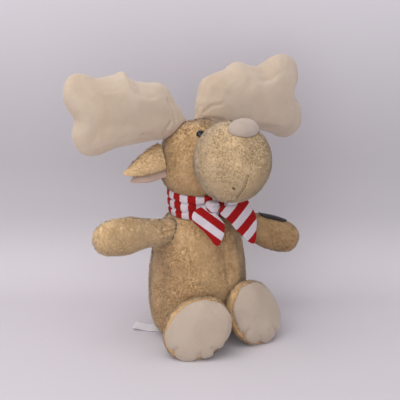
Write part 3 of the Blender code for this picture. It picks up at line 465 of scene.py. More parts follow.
def stuffed_bag(outline, centre, front, back, rings=26, cell=0.0009):
    """Two panels sewn round an outline and filled; front and back are how far each swells."""
    field = fill_heights(outline, cell)
    centre = np.array(centre)
    count = len(outline)
    spread = np.sin(np.linspace(0, 1, rings + 1) * math.pi / 2)
    points, faces = [], []
    for side, swell in ((1, front), (-1, back)):
        start = len(points)
        points.append((*centre, side * swell * height_at(field, centre[None])[0]))
        for ring in range(1, rings + 1):
            flat = centre + (outline - centre) * spread[ring]
            rise = height_at(field, flat) if ring < rings else np.zeros(count)
            points += [(x, y, side * swell * h) for (x, y), h in zip(flat, rise)]
        for k in range(count):
            n = (k + 1) % count
            face = [start, start + 1 + k, start + 1 + n]
            faces.append(face if side > 0 else face[::-1])
            for ring in range(rings - 1):
                a = start + 1 + ring * count
                quad = [a + k, a + count + k, a + count + n, a + n]
                faces.append(quad if side > 0 else quad[::-1])
    bm = bmesh.new()
    bm.from_mesh(plain_mesh("panels", points, faces))
    bmesh.ops.remove_doubles(bm, verts=bm.verts, dist=1e-6)
    bmesh.ops.recalc_face_normals(bm, faces=bm.faces)
    return made_mesh(bm, "bag")


def fuller(points, filling, margin):
    """Moves points that lie in a filling out over its surface."""
    tree = tree_of(filling)
    moved = points.copy()
    for i, point in enumerate(points):
        place = Vector(point)
        near, normal, _, distance = tree.find_nearest(place)
        if (place - near).dot(normal) < margin and distance < FILLING_REACH:
            moved[i] = near + normal * margin
    return moved


def puffed(mesh, voxel, pressure, most):
    """Fills a sewn bag with a short cloth simulation; no point moves further than a limit."""
    bag = baked(helper(mesh, [("REMESH", {"mode": "VOXEL", "voxel_size": voxel})]))
    before, _ = points_of(bag)
    held = helper(bag, [("CLOTH", {})])
    cloth = held.modifiers["cloth"]
    for key, value in CLOTH.items():
        setattr(cloth.settings, key, value)
    cloth.settings.uniform_pressure_force = pressure
    cloth.settings.effector_weights.gravity = 0.0
    cloth.point_cache.frame_start = 1
    cloth.point_cache.frame_end = CLOTH_FRAMES
    for frame_number in range(1, CLOTH_FRAMES + 1):
        bpy.context.scene.frame_set(frame_number)
    filled = baked(held)
    bpy.context.scene.frame_set(1)
    moved = points_of(filled)[0] - before
    length = np.linalg.norm(moved, axis=1)[:, None]
    set_points(filled, before + moved * np.minimum(1.0, most / np.maximum(length, 1e-9)))
    filled.shade_smooth()
    return rounded(filled, 1)


def tree_of(mesh):
    """A search tree over a mesh."""
    points = [vertex.co.copy() for vertex in mesh.vertices]
    return BVHTree.FromPolygons(points, [tuple(face.vertices) for face in mesh.polygons])


def seen_at(tree, x, y):
    """The point of a surface that the picture shows at a pixel."""
    eye = VIEW_TARGET + VIEW_BACK * VIEW_DISTANCE
    right = Vector((math.cos(VIEW_AZIMUTH), math.sin(VIEW_AZIMUTH), 0.0))
    across = right * (x - PICTURE_CENTRE[0]) / PIXELS_PER_UNIT
    upward = VIEW_BACK.cross(right) * (PICTURE_CENTRE[1] - y) / PIXELS_PER_UNIT
    return tree.ray_cast(eye, (-VIEW_BACK + across + upward).normalized())[0]


def seen_line(tree, pixels):
    """Points of a surface that the picture shows at several pixels."""
    hits = [seen_at(tree, x, y) for x, y in pixels]
    return [hit for hit in hits if hit]


def hidden_in(points, trees, margin, deepest=0.03):
    """Which points lie inside other forms or closer to them than a margin."""
    hidden = np.zeros(len(points), bool)
    for tree in trees:
        for i, point in enumerate(points):
            near, normal, _, distance = tree.find_nearest(Vector(point), deepest)
            if near and (distance < margin or (Vector(point) - near).dot(normal) < 0):
                hidden[i] = True
    return hidden


def piece(name, mesh, material, body, replaced=()):
    """Adds a finished piece that rides on a body."""
    mesh.name = name
    mesh.materials.clear()
    mesh.materials.append(material)
    mesh.polygons.foreach_set("material_index", np.zeros(len(mesh.polygons), np.int32))
    obj = bpy.data.objects.new(name, mesh)
    bpy.context.scene.collection.objects.link(obj)
    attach(obj, body)
    if replaced:
        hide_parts(*replaced)
    return obj


def put(tree, socket, value):
    """Links a socket to another one, or sets it; a colour may leave out its alpha."""
    if isinstance(value, bpy.types.NodeSocket):
        tree.links.new(value, socket)
    elif socket.type == "RGBA" and len(value) == 3:
        socket.default_value = (*value, 1.0)
    else:
        socket.default_value = value


def node(tree, kind, *values, **settings):
    """Adds a node: values fill its inputs in order, settings are its own or name an input."""
    made = tree.nodes.new(kind)
    named = {}
    for key, value in settings.items():
        if hasattr(made, key):
            setattr(made, key, value)
        else:
            named[key.replace("_", " ")] = value
    for key, value in [*enumerate(values), *named.items()]:
        if value is not None:
            put(tree, made.inputs[key], value)
    return made


def new_group(name, kind, inputs, outputs):
    """A node group with its sockets: the tree, what comes in and the node that ends it."""
    tree = bpy.data.node_groups.new(name, kind)
    for in_out, sockets in (("INPUT", inputs), ("OUTPUT", outputs)):
        for label, holds, *default in sockets:
            socket = tree.interface.new_socket(label, in_out=in_out, socket_type="NodeSocket" + holds)
            if default:
                socket.default_value = default[0]
    return tree, node(tree, "NodeGroupInput").outputs, node(tree, "NodeGroupOutput")


def maths(tree, operation, *values):
    """A number worked out from others."""
    return node(tree, "ShaderNodeMath", *values, operation=operation).outputs[0]


def vectors(tree, operation, first, second):
    """A vector worked out from another one and a second vector or a scale."""
    made = node(tree, "ShaderNodeVectorMath", first, operation=operation)
    put(tree, made.inputs["Scale" if operation == "SCALE" else 1], second)
    return made.outputs[0]


def ranged(tree, value, low=0.0, high=1.0, to_low=0.0, to_high=1.0, **settings):
    """A number mapped from one range to another, and kept inside it."""
    return node(tree, "ShaderNodeMapRange", value, low, high, to_low, to_high, **settings).outputs[0]


def dressed(tree, instances, material, finish):
    """Ends a geometry group with real geometry in its material."""
    real = node(tree, "GeometryNodeRealizeInstances", instances)
    coat = node(tree, "GeometryNodeSetMaterial", Geometry=real.outputs[0], Material=material)
    put(tree, finish.inputs[0], coat.outputs["Geometry"])
    return tree


def after_nodes(mesh, tree, values):
    """The mesh that a node group makes of another one; values are named as the group's inputs."""
    obj = helper(mesh)
    modifier = obj.modifiers.new("nodes", "NODES")
    modifier.node_group = tree
    for item in tree.interface.items_tree:
        if item.in_out == "INPUT" and item.name in values:
            modifier[item.identifier] = values[item.name]
    return baked(obj)


def pile_tree(material):
    """Fine short tufts over a skin, drawn together in small clumps with partings between."""
    tree, start, finish = new_group(
        "pile_" + material.name,
        "GeometryNodeTree",
        (
            ("Skin", "Geometry"),
            ("Tufts per mm2", "Float", 2.0),
            ("Length", "Float", 0.0015),
            ("Width", "Float", 0.00025),
            ("Lean", "Vector", (0.0, 0.0, -0.4)),
            ("Clumps per metre", "Float", 330.0),
            ("Seed", "Int", 1),
        ),
        (("Pile", "Geometry"),),
    )
    seed, place = start["Seed"], node(tree, "GeometryNodeInputPosition").outputs[0]

    def stored(geometry, name, kind, value, domain):
        made = node(
            tree,
            "GeometryNodeStoreNamedAttribute",
            Geometry=geometry,
            Name=name,
            Value=value,
            data_type=kind,
            domain=domain,
        )
        return made.outputs["Geometry"]

    here = node(tree, "GeometryNodeInputNamedAttribute", "pile_here", data_type="FLOAT")
    density = maths(tree, "MULTIPLY", start["Tufts per mm2"], 1e6)
    density = maths(tree, "MULTIPLY", density, here.outputs["Attribute"])
    scatter = node(
        tree, "GeometryNodeDistributePointsOnFaces", Mesh=start["Skin"], Density=density, Seed=seed
    )
    normal = scatter.outputs["Normal"]

    shape = {"Vertices": 3, "Side_Segments": 1, "Radius_Top": 0.0, "fill_type": "NONE"}
    size = {"Radius_Bottom": start["Width"], "Depth": start["Length"]}
    tuft = node(tree, "GeometryNodeMeshCone", **shape, **size).outputs["Mesh"]
    height = node(tree, "ShaderNodeSeparateXYZ", place).outputs["Z"]
    tuft = stored(tuft, "tip", "FLOAT", maths(tree, "DIVIDE", height, start["Length"]), "POINT")

    clump = node(tree, "ShaderNodeTexVoronoi", Vector=place, Scale=start["Clumps per metre"])
    gather = vectors(tree, "SUBTRACT", clump.outputs["Position"], place)
    patch = node(tree, "ShaderNodeTexNoise", Vector=place, Scale=55.0, Detail=2.0)
    matted = ranged(tree, patch.outputs[0], 0.36, 0.56, 0.25)
    gather = vectors(tree, "SCALE", vectors(tree, "SCALE", gather, 320.0), matted)
    drift = node(tree, "ShaderNodeTexNoise", Vector=place, Scale=90.0, Detail=1.0)
    combed = vectors(tree, "SUBTRACT", drift.outputs["Color"], (0.5, 0.5, 0.5))
    reach = ((-0.42, -0.42, -0.42), (0.42, 0.42, 0.42))
    own = node(tree, "FunctionNodeRandomValue", *reach, data_type="FLOAT_VECTOR", Seed=seed)
    way = vectors(tree, "ADD", vectors(tree, "SCALE", normal, 0.75), start["Lean"])
    for push in (gather, vectors(tree, "SCALE", combed, 1.3), own.outputs[0]):
        way = vectors(tree, "ADD", way, push)
    turned = node(tree, "FunctionNodeAlignRotationToVector", axis="Z", Vector=way).outputs[0]
    broad = {"axis": "Y", "pivot_axis": "Z", "Rotation": turned, "Vector": normal}
    turned = node(tree, "FunctionNodeAlignRotationToVector", **broad).outputs[0]
    size = node(tree, "FunctionNodeRandomValue", None, None, 0.7, 1.2, Seed=seed).outputs[1]

    kept = node(tree, "GeometryNodeCaptureAttribute", domain="POINT")
    kept.capture_items.new("VECTOR", "Way")
    kept.capture_items.new("FLOAT", "Parting")
    # How deep a tuft stands in a parting between clumps; the pile's colour is darkened there as painted
    # shade
    parting = maths(tree, "MULTIPLY", clump.outputs["Distance"], matted)
    for name, value in (("Geometry", scatter.outputs["Points"]), ("Way", normal), ("Parting", parting)):
        put(tree, kept.inputs[name], value)
    tufts = node(
        tree,
        "GeometryNodeInstanceOnPoints",
        Points=kept.outputs["Geometry"],
        Instance=tuft,
        Rotation=turned,
        Scale=vectors(tree, "SCALE", (1.25, 0.5, 1.0), size),
    ).outputs[0]
    shade = node(tree, "FunctionNodeRandomValue", data_type="FLOAT")
    for name, kind, value in (
        ("shade", "FLOAT", shade.outputs[1]),
        ("parting", "FLOAT", kept.outputs["Parting"]),
        ("skin_way", "FLOAT_VECTOR", kept.outputs["Way"]),
    ):
        tufts = stored(tufts, name, kind, value, "INSTANCE")
    return dressed(tree, tufts, material, finish)


def grow_pile(skin, name, pile, body, blocked, density, length, width, lean, seed, sheets=(), beside=None):
    """Plants a pile on a skin, except where other forms cover it, or only beside one of them."""
    tree, look = pile
    mesh = bpy.data.objects[skin].data.copy()
    bm = bmesh.new()
    bm.from_mesh(mesh)
    wide = [face for face in bm.faces if face.calc_area() > 8e-6]
    bmesh.ops.delete(bm, geom=wide, context="FACES_ONLY")
    bm.to_mesh(mesh)
    bm.free()
    points, _ = points_of(mesh)
    covered = hidden_in(points, blocked, length * 0.3) | hidden_in(points, sheets, length * 0.6, length)
    here = np.where(covered, 0.0, 1.0)
    here[points[:, 2] < length * 1.4] = 0.0
    if beside:
        here *= hidden_in(points, [beside], length)
    mesh.attributes.new("pile_here", "FLOAT", "POINT").data.foreach_set("value", here)
    values = {"Tufts per mm2": density, "Length": length, "Width": width, "Lean": lean, "Seed": seed}
    return piece(name, after_nodes(mesh, tree, values), look, body)


def stitch_tree(material):
    """Even stitches laid along a seam."""
    tree, start, finish = new_group(
        "seam_stitches",
        "GeometryNodeTree",
        (
            ("Seam", "Geometry"),
            ("Spacing", "Float", 0.003),
            ("Length", "Float", 0.002),
            ("Thickness", "Float", 0.0005),
        ),
        (("Stitches", "Geometry"),),
    )
    path = node(tree, "GeometryNodeMeshToCurve", Mesh=start["Seam"]).outputs[0]
    steps = node(tree, "GeometryNodeResampleCurve", mode="LENGTH", Curve=path, Length=start["Spacing"])
    along = node(tree, "GeometryNodeInputTangent").outputs[0]
    thick = start["Thickness"]
    laid = node(
        tree,
        "GeometryNodeInstanceOnPoints",
        Points=steps.outputs[0],
        Instance=node(tree, "GeometryNodeMeshUVSphere", Segments=8, Rings=6, Radius=0.5).outputs[0],
        Rotation=node(tree, "FunctionNodeAlignRotationToVector", axis="Z", Vector=along).outputs[0],
        Scale=node(tree, "ShaderNodeCombineXYZ", thick, thick, start["Length"]).outputs[0],
    )
    return dressed(tree, laid.outputs[0], material, finish)


def sew(name, lines, tree, look, body, spacing, length, thickness):
    """Stitches along one or more seam lines, as one piece."""
    points, edges = [], []
    for line in lines:
        edges += [(len(points) + k, len(points) + k + 1) for k in range(len(line) - 1)]
        points += [tuple(point) for point in line]
    mesh = bpy.data.meshes.new(name)
    mesh.from_pydata(points, edges, [])
    stitches = after_nodes(mesh, tree, {"Spacing": spacing, "Length": length, "Thickness": thickness})
    stitches.shade_smooth()
    return piece(name, stitches, look, body)


def mix_colour(tree, factor, first, second, mode="MIX"):
    """Mixes two colours; each may be a colour or a socket."""
    values = (factor, *[None] * 5, first, second)
    return node(tree, "ShaderNodeMix", *values, data_type="RGBA", blend_type=mode).outputs[2]


def mottle_group():
    """Uneven cloth colour: large brushed patches and fine specks, with painted shade in a crackle of thin
    partings.
    """
    tree, start, finish = new_group(
        "cloth_mottle",
        "ShaderNodeTree",
        (
            ("Light", "Color", (0.6, 0.4, 0.2, 1)),
            ("Dark", "Color", (0.4, 0.25, 0.1, 1)),
            ("Patch scale", "Float", 45.0),
            ("Speck scale", "Float", 700.0),
            ("Speck depth", "Float", 0.5),
            ("Crackle", "Float", 0.0),
        ),
        (("Colour", "Color"), ("Height", "Float")),
    )
    place = node(tree, "ShaderNodeTexCoord").outputs["Object"]

    def grain(scale, detail, **more):
        return node(tree, "ShaderNodeTexNoise", Vector=place, Scale=scale, Detail=detail, **more).outputs

    patch = grain(start["Patch scale"], 3.0, Roughness=0.6, Distortion=0.6)[0]
    speck = grain(start["Speck scale"], 2.0, Roughness=0.7, Distortion=0.4)[0]
    patched = mix_colour(tree, ranged(tree, patch, 0.34, 0.66), start["Dark"], start["Light"])
    deep = mix_colour(tree, 1.0, start["Dark"], (0.55, 0.45, 0.38), "MULTIPLY")
    low = maths(tree, "SUBTRACT", 1.0, ranged(tree, speck, 0.36, 0.56))
    flecked = mix_colour(tree, maths(tree, "MULTIPLY", low, start["Speck depth"]), patched, deep)
    wander = (grain(260.0, 2.0)["Color"], (0.0035, 0.0035, 0.0035), place)
    wander = node(tree, "ShaderNodeVectorMath", *wander, operation="MULTIPLY_ADD").outputs[0]
    # Painted shade: thin partings in the pile, darkened where the pile is matted
    lines = node(
        tree, "ShaderNodeTexVoronoi", feature="DISTANCE_TO_EDGE", Vector=wander, Scale=360.0
    )
    thin = ranged(tree, lines.outputs["Distance"], 0.02, 0.13, 1.0, 0.0)
    matted = ranged(tree, grain(52.0, 2.0)[0], 0.38, 0.56, 0.15)
    strength = maths(tree, "MULTIPLY", maths(tree, "MULTIPLY", thin, matted), start["Crackle"])
    painted_parting_shade = mix_colour(tree, 1.0, flecked, (0.46, 0.34, 0.24), "MULTIPLY")
    put(tree, finish.inputs["Colour"], mix_colour(tree, strength, flecked, painted_parting_shade))
    put(tree, finish.inputs["Height"], speck)
    return tree


def new_look(name, roughness, sheen=0.0, specular=0.3, coat=0.0):
    """A material with its constant values on the shader's own sockets."""
    look = bpy.data.materials.new(name)
    look.use_nodes = True
    shader = look.node_tree.nodes["Principled BSDF"]
    shader.inputs["Roughness"].default_value = roughness
    shader.inputs["Specular IOR Level"].default_value = specular
    shader.inputs["Sheen Weight"].default_value = sheen
    shader.inputs["Sheen Roughness"].default_value = 0.5
    shader.inputs["Coat Weight"].default_value = coat
    return look, look.node_tree, shader


def bumped(tree, shader, height, strength, distance):
    """Gives a surface relief."""
    bump = node(tree, "ShaderNodeBump", Strength=strength, Distance=distance, Height=height)
    put(tree, shader.inputs["Normal"], bump.outputs[0])


def tufted_colour(tree, shader, colour):
    """Tufts, each in its own tone, with painted shade darkening their roots and partings, and lit as the
    skin below.
    """
    tip, shade, parting, way = (
        node(tree, "ShaderNodeAttribute", attribute_name=name).outputs
        for name in ("tip", "shade", "parting", "skin_way")
    )
    # Painted shade: each tuft darkens towards its root
    root = mix_colour(tree, 1.0, colour, (0.88, 0.84, 0.80), "MULTIPLY")
    colour = mix_colour(tree, ranged(tree, tip["Fac"], to_low=0.1), root, colour)
    colour = mix_colour(tree, ranged(tree, shade["Fac"], to_high=0.22), colour, (0.92, 0.74, 0.50))
    # Painted shade: tufts darken deep in the partings between clumps
    shadow = mix_colour(tree, 1.0, colour, (0.58, 0.48, 0.38), "MULTIPLY")
    colour = mix_colour(tree, ranged(tree, parting["Fac"], 0.42, 0.75, 0.0, 0.38), colour, shadow)
    space = {"vector_type": "NORMAL", "convert_from": "OBJECT", "convert_to": "WORLD"}
    to_world = node(tree, "ShaderNodeVectorTransform", way["Vector"], **space).outputs[0]
    own = node(tree, "ShaderNodeNewGeometry").outputs["Normal"]
    blend = node(tree, "ShaderNodeMix", 0.80, *[None] * 3, own, to_world, data_type="VECTOR")
    put(tree, shader.inputs["Normal"], blend.outputs[1])
    return colour


def cloth_look(name, mottle, light, dark, patch, speck, depth, bump, sheen=0.4, tufted=False, crackle=0.0):
    """Plush or nap: mottled colour, fine relief or tufts, a soft sheen, and painted sheen that lightens
    the colour where the surface turns away.
    """
    look, tree, shader = new_look(name, 0.95, 0.25 if tufted else sheen, 0.1)
    cloth = node(
        tree,
        "ShaderNodeGroup",
        node_tree=mottle,
        Light=light,
        Dark=dark,
        Patch_scale=patch,
        Speck_scale=speck,
        Speck_depth=depth,
        Crackle=crackle,
    )
    colour = cloth.outputs["Colour"]
    if tufted:
        colour = tufted_colour(tree, shader, colour)
    else:
        bumped(tree, shader, cloth.outputs["Height"], 0.8, bump)
    normal = shader.inputs["Normal"].links[0].from_socket
    # Painted sheen: the colour turns lighter where the surface turns away from the view
    edge = node(tree, "ShaderNodeLayerWeight", Blend=0.5, Normal=normal).outputs["Facing"]
    painted_sheen_rim = ranged(tree, edge, 0.35, to_high=0.35 if crackle else 0.12)
    painted_sheen_colour = tuple(1.0 - (1.0 - channel) * 0.70 for channel in light)
    put(tree, shader.inputs["Base Color"], mix_colour(tree, painted_sheen_rim, colour, painted_sheen_colour))
    return look


def striped_cotton_look():
    """Red and white woven stripes; U counts stripe pairs and V runs along them in metres."""
    look, tree, shader = new_look("striped_cotton", 0.85, 0.05, 0.12)
    place = node(tree, "ShaderNodeUVMap", uv_map="UVMap").outputs[0]
    across = node(tree, "ShaderNodeSeparateXYZ", place).outputs["X"]
    solid = node(tree, "ShaderNodeTexCoord").outputs["Object"]
    waver = node(tree, "ShaderNodeTexNoise", Vector=solid, Scale=500.0, Detail=2.0).outputs[0]
    part = maths(tree, "FRACT", maths(tree, "MULTIPLY_ADD", waver, 0.05, across))
    edge = ranged(tree, maths(tree, "PINGPONG", part, 0.5), 0.235, 0.265)
    blotch = node(tree, "ShaderNodeTexNoise", Vector=solid, Scale=120.0, Detail=4.0).outputs[0]
    red = mix_colour(tree, blotch, (0.27, 0.004, 0.005), (0.40, 0.009, 0.009))
    white = mix_colour(tree, blotch, (0.52, 0.45, 0.49), (0.76, 0.70, 0.74))
    put(tree, shader.inputs["Base Color"], mix_colour(tree, edge, red, white))
    fine = node(tree, "ShaderNodeMapping", Vector=place, Scale=(14.0, 1800.0, 1.0)).outputs[0]
    bands = {"wave_type": "BANDS", "Vector": fine, "Scale": 1.0}
    threads = [node(tree, "ShaderNodeTexWave", bands_direction=a, **bands).outputs[1] for a in "XY"]
    bumped(tree, shader, maths(tree, "ADD", *threads), 0.35, 0.0002)
    return look


def plain_look(name, light, dark, scale, roughness, bump, sheen=0.0, specular=0.4, coat=0.0):
    """A smooth piece with slight variation and fine relief."""
    look, tree, shader = new_look(name, roughness, sheen, specular, coat)
    place = node(tree, "ShaderNodeTexCoord").outputs["Object"]
    grain = node(tree, "ShaderNodeTexNoise", Vector=place, Scale=scale, Detail=4.0).outputs[0]
    put(tree, shader.inputs["Base Color"], mix_colour(tree, grain, dark, light))
    bumped(tree, shader, grain, 0.4, bump)
    return look


def all_looks():
    """Every finish of the toy."""
    mottle = mottle_group()
    looks = {"cotton": striped_cotton_look()}
    for skin, pile, name, light, dark, patch, crackle in FURS:
        fur = (mottle, light, dark, patch)
        looks[skin] = cloth_look(name + "_skin", *fur, 620, 0.25, 0.0008, crackle=crackle)
        looks[pile] = cloth_look(name + "_pile", *fur, 330, 0.12, 0.0, tufted=True, crackle=crackle)
    for key, name, *values in NAPS:
        looks[key] = cloth_look(name, mottle, *values)
    for key, *values in PLAINS:
        looks[key] = plain_look(*values)
    return looks


def side_name(side):
    """The toy's own right is -X."""
    return "right" if side < 0 else "left"


def ball_at(place, radius):
    """A sphere about a point."""
    return placed(ball(radius), Matrix.Translation(place))


def about(seat, turn):
    """A turn about a point."""
    return Matrix.Translation(seat) @ turn @ Matrix.Translation(-seat)


def body_form(rows, size, base, place):
    """A finely rounded body form."""
    return placed(rounded(swelling_cage(10, body_rows(rows, size, base)), 4), place)


def forms():
    """The toy's large forms at rest, finely drawn, before seams and lumps."""
    skull_at = Matrix.Translation(NECK + Vector((0, 0, SKULL_RISE)))
    skull_at = skull_at @ Matrix.Rotation(-SKULL_PITCH, 4, "X")
    muzzle_at = aim(NECK + MUZZLE_AT, toward(0.0, MUZZLE_PITCH), SIDEWAYS)
    return {
        "torso": body_form(TORSO_ROWS, TORSO, TORSO_BASE, Matrix()),
        "skull": body_form(HEAD_ROWS, SKULL, -SKULL[2] / 2, skull_at),
        "muzzle": body_form(HEAD_ROWS, MUZZLE, -MUZZLE[2] / 2, muzzle_at),
        "skull_at": skull_at.translation,
        "muzzle_at": muzzle_at.translation,
    }


def shoulder(side):
    """Where an arm turns."""
    return Vector((side * SHOULDER[0], *SHOULDER[1:]))


def hip(side):
    """Where a leg turns."""
    return Vector((side * HIP[0], *HIP[1:]))


def trunk_room(torso, seat, radius, swing=0.0):
    """The room that the trunk takes while a limb swings, without the limb's round seat."""
    body = grown(torso, 0.0004)
    room = body
    for share in (0.5, 1.0) if swing else ():
        turn = about(seat, Matrix.Rotation(share * swing, 4, "Z"))
        room = worked(room, placed(body, turn), "UNION")
    return cut(room, ball_at(seat, radius))


def swung(torso, seat, axis, swing):
    """The trunk's form as a swinging limb meets it, half way and at the end of its swing."""
    turns = [about(seat, Matrix.Rotation(share * swing, 4, axis)) for share in (0.5, 1.0)]
    return [tree_of(placed(torso, turn)) for turn in turns]


def build_torso(made, looks):
    """The trunk's skin: a front panel between two long seams, a back seam and a belly crease."""
    mesh = made["torso"].copy()
    tree = tree_of(mesh)
    points, normals = points_of(mesh)
    seats = [(NECK, NECK_RADIUS, 0.020)]
    for side in (-1, 1):
        seats += [(shoulder(side), ARM_ROOT, 0.013), (hip(side), LEG_ROOT, 0.016)]
    calm = np.ones(len(points))
    for seat, _, reach in seats:
        away = np.linalg.norm(points - np.array(seat), axis=1)
        calm *= np.clip((away - reach) / 0.010, 0.0, 1.0)
    swell = lumpy(points, normals, 0.026, 0.0016, 1.0) - points
    swell += lumpy(points, normals, 0.009, 0.0003, 2.0) - points
    points = points + swell * calm[:, None]
    for bearing in TORSO_SEAMS:
        line = []
        for z in np.linspace(0.004, 0.100, 22):
            way = toward(math.radians(bearing + 2.0 * math.sin(z * 60)), 0.0)
            line.append(tree.ray_cast(way * 0.2 + Vector((0, 0, z)), -way)[0])
        points = pressed(points, normals, line, 0.0011, 0.0011)
        points = pressed(points, normals, line, 0.0060, 0.0006)
    points = pressed(points, normals, seen_line(tree, BELLY_CREASE), 0.0016, 0.0009)
    points[:, 2] = np.maximum(points[:, 2], FLOOR_GAP)
    set_points(mesh, points)
    mesh = cut(mesh, *(ball_at(seat, radius + SEAT_GAP) for seat, radius, _ in seats))
    skin = piece("torso_skin", mesh, looks["plush"], "trunk", ["torso_cover"])


def build_head(made, looks):
    """Skull and neck in one skin, and the rounder muzzle panel sewn into its front."""
    skull = made["skull"].copy()
    points, normals = points_of(skull)
    points = lumpy(points, normals, 0.020, 0.0010, 4.0)
    jowls = np.clip((-normals[:, 2] - 0.10) / 0.40, 0.0, 1.0)
    jowls *= np.clip((normals[:, 2] + 0.98) / 0.25, 0.0, 1.0)
    set_points(skull, points + normals * (jowls * JOWL)[:, None])
    skull = worked(skull, ball_at(NECK, NECK_RADIUS), "UNION")
    skull = cut(skull, grown(made["muzzle"], GAP))
    head = piece("head_skin", skull, looks["plush"], "head", ["head_cover"])
    muzzle = made["muzzle"].copy()
    tree = tree_of(muzzle)
    points, normals = points_of(muzzle)
    points = lumpy(points - normals * 0.0006, normals, 0.022, 0.0009, 6.0)
    points = pressed(points, normals, seen_line(tree, MOUTH), 0.0009, 0.0013)
    for pixels, depth in MUZZLE_CREASES:
        points = pressed(points, normals, seen_line(tree, pixels), 0.0012, depth)
    set_points(muzzle, points)
    snout = piece("muzzle_skin", muzzle, looks["muzzle"], "head", ["muzzle_cover"])
    front_of = tree_of(snout.data)
    mouth, dot = seen_line(front_of, MOUTH), seen_line(front_of, LIP_DOT)
    outward = (mouth[0] - made["muzzle_at"]).normalized() * 0.0008
    mouth, dot = ([point + outward for point in line] for line in (mouth, dot))
    thread = (looks["stitch_tree"], looks["thread"], "head")
    sew("mouth_stitches", [mouth], *thread, spacing=0.0026, length=0.0022, thickness=0.00055)
    sew("lip_stitch", [dot], *thread, spacing=0.0009, length=0.0016, thickness=0.0014)


def build_nose(made, looks):
    """The smooth oval on the muzzle's upper front."""
    direction = toward(0.0, NOSE_TILT)
    lengthwise = direction.dot(toward(0.0, MUZZLE_PITCH))
    upright = math.sqrt(1.0 - lengthwise**2)
    reach = 1.0 / math.hypot(lengthwise / (MUZZLE[2] / 2), upright / (MUZZLE[1] / 2))
    place = aim(NECK + MUZZLE_AT + direction * reach, direction, SIDEWAYS)
    shape = (1.0, NOSE[1] / NOSE[0], NOSE[2] * 2 / NOSE[0])
    mesh = placed(ball(NOSE[0] / 2, 64, 40, shape), place)
    points, normals = points_of(mesh)
    set_points(mesh, lumpy(points, normals, 0.006, 0.0003, 8.0))
    mesh = cut(mesh, grown(made["muzzle"], GAP))
    pad = piece("nose_pad", mesh, looks["nose"], "head", ["nose_patch"])


def build_eye(side, made, looks):
    """A glossy domed bead on its shank."""
    direction = toward(side * EYE_OUT, EYE_UP)
    reach = 1.0 / math.sqrt(sum((way * 2 / size) ** 2 for way, size in zip(direction, SKULL)))
    place = aim(made["skull_at"] + direction * reach, direction, UPWARDS)
    bead = ball(EYE[0] / 2, 40, 28, (1.0, 1.0, EYE[1] / EYE[0]))
    shank = placed(rod(*EYE_SHANK), Matrix.Translation((0, 0, -0.0030)))
    mesh = placed(worked(bead, shank, "UNION"), place)
    name = side_name(side)
    piece(name + "_eye_bead", mesh, looks["bead"], "head", [name + "_eye"])


def build_ear(side, made, looks):
    """A leaf-shaped ear cupped downwards, with its lining underneath."""
    name = side_name(side)
    outward = Vector((side * math.cos(EAR_DROOP), 0.0, -math.sin(EAR_DROOP)))
    crosswise = Vector((0.0, math.sin(EAR_FOLD), math.cos(EAR_FOLD)))
    normal = outward.cross(crosswise).normalized()
    place = aim(NECK + Vector((side * 0.0260, 0.006, 0.0435)), normal, outward)
    outline = smooth_outline(EAR_OUTLINE, EAR[:2], 96)
    centre = np.array((EAR[0] / 2, 0.0))
    below = -1.0 if normal.z > 0 else 1.0
    clear = grown(made["skull"], EAR_CLEARANCE)
    thick = EAR[2] / 2

    def cup(mesh):
        points, normals = points_of(mesh)
        bend = (points[:, 1] / (EAR[1] / 2)) ** 2
        points[:, 2] += below * bend * EAR_CUP
        set_points(mesh, lumpy(points, normals, 0.010, 0.0005, 11.0 + side))
        return mesh

    body, slot = name + "_ear", "tan_plush"
    ear = cut(placed(cup(stuffed_bag(outline, centre, thick, thick, 18, 0.0005)), place), clear)
    # Both ears take the tan plush painted lighter, as painted light
    skin = piece(name + "_ear_skin", ear, looks["painted_lit_plush"], body, [name + "_ear"])
    inset = centre + (outline - centre) * EAR_LINING_SHARE
    lining = cup(stuffed_bag(inset, centre, 0.002, 0.002, 14, 0.0005))
    lining.transform(Matrix.Translation((0, -EAR_LINING_DROP, below * thick)))
    lining = cut(placed(lining, place), grown(ear, GAP), clear)
    cloth = piece(
        name + "_ear_cloth", lining, looks["lining"], body, [name + "_ear_lining"]
    )


def build_antler(side, made, looks):
    """A puffy palm with rounded lobes, filled as a sewn bag and pinched where it is sewn on."""
    name = side_name(side)
    lift = math.radians(2 if side < 0 else -6)
    root = NECK + Vector((side * 0.0225, 0.009, 0.0560 if side < 0 else 0.0580))
    outward = Vector((side * math.cos(lift), 0.0, math.sin(lift)))
    upward = Vector((-side * math.sin(lift), 0.0, math.cos(lift)))
    shares = RIGHT_ANTLER_OUTLINE if side < 0 else LEFT_ANTLER_OUTLINE
    outline = smooth_outline(shares, ANTLER[:2], 150)
    centre = np.array(ANTLER_CENTRE) * ANTLER[:2]
    sewn = centre + (outline - centre) * 1.025
    swell = ANTLER[2] * 0.37
    mesh = puffed(stuffed_bag(sewn, centre, swell, swell, 22, 0.0011), 0.0022, 6.0, 0.007)
    mesh = placed(mesh, aim(root, outward.cross(upward), outward))
    points, normals = points_of(mesh)
    points = lumpy(points, normals, 0.024, 0.0012, 20.0 + side)
    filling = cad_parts[name + "_antler_stuffing"].data
    set_points(mesh, fuller(points, filling, 0.0013))
    mesh = baked(helper(mesh, [("SMOOTH", {"factor": 0.5, "iterations": 4})]))
    tree = tree_of(mesh)
    points, normals = points_of(mesh)
    for pixels in ROOT_PLEATS[name]:
        points = pressed(points, normals, seen_line(tree, pixels), 0.0012, 0.0015)
    set_points(mesh, fuller(points, filling, 0.0005))
    mesh = cut(mesh, grown(made["skull"], ANTLER_CLEARANCE))
    body, cover = name + "_antler", name + "_antler_cover"
    skin = piece(name + "_antler_skin", mesh, looks["antler"], body, [cover])


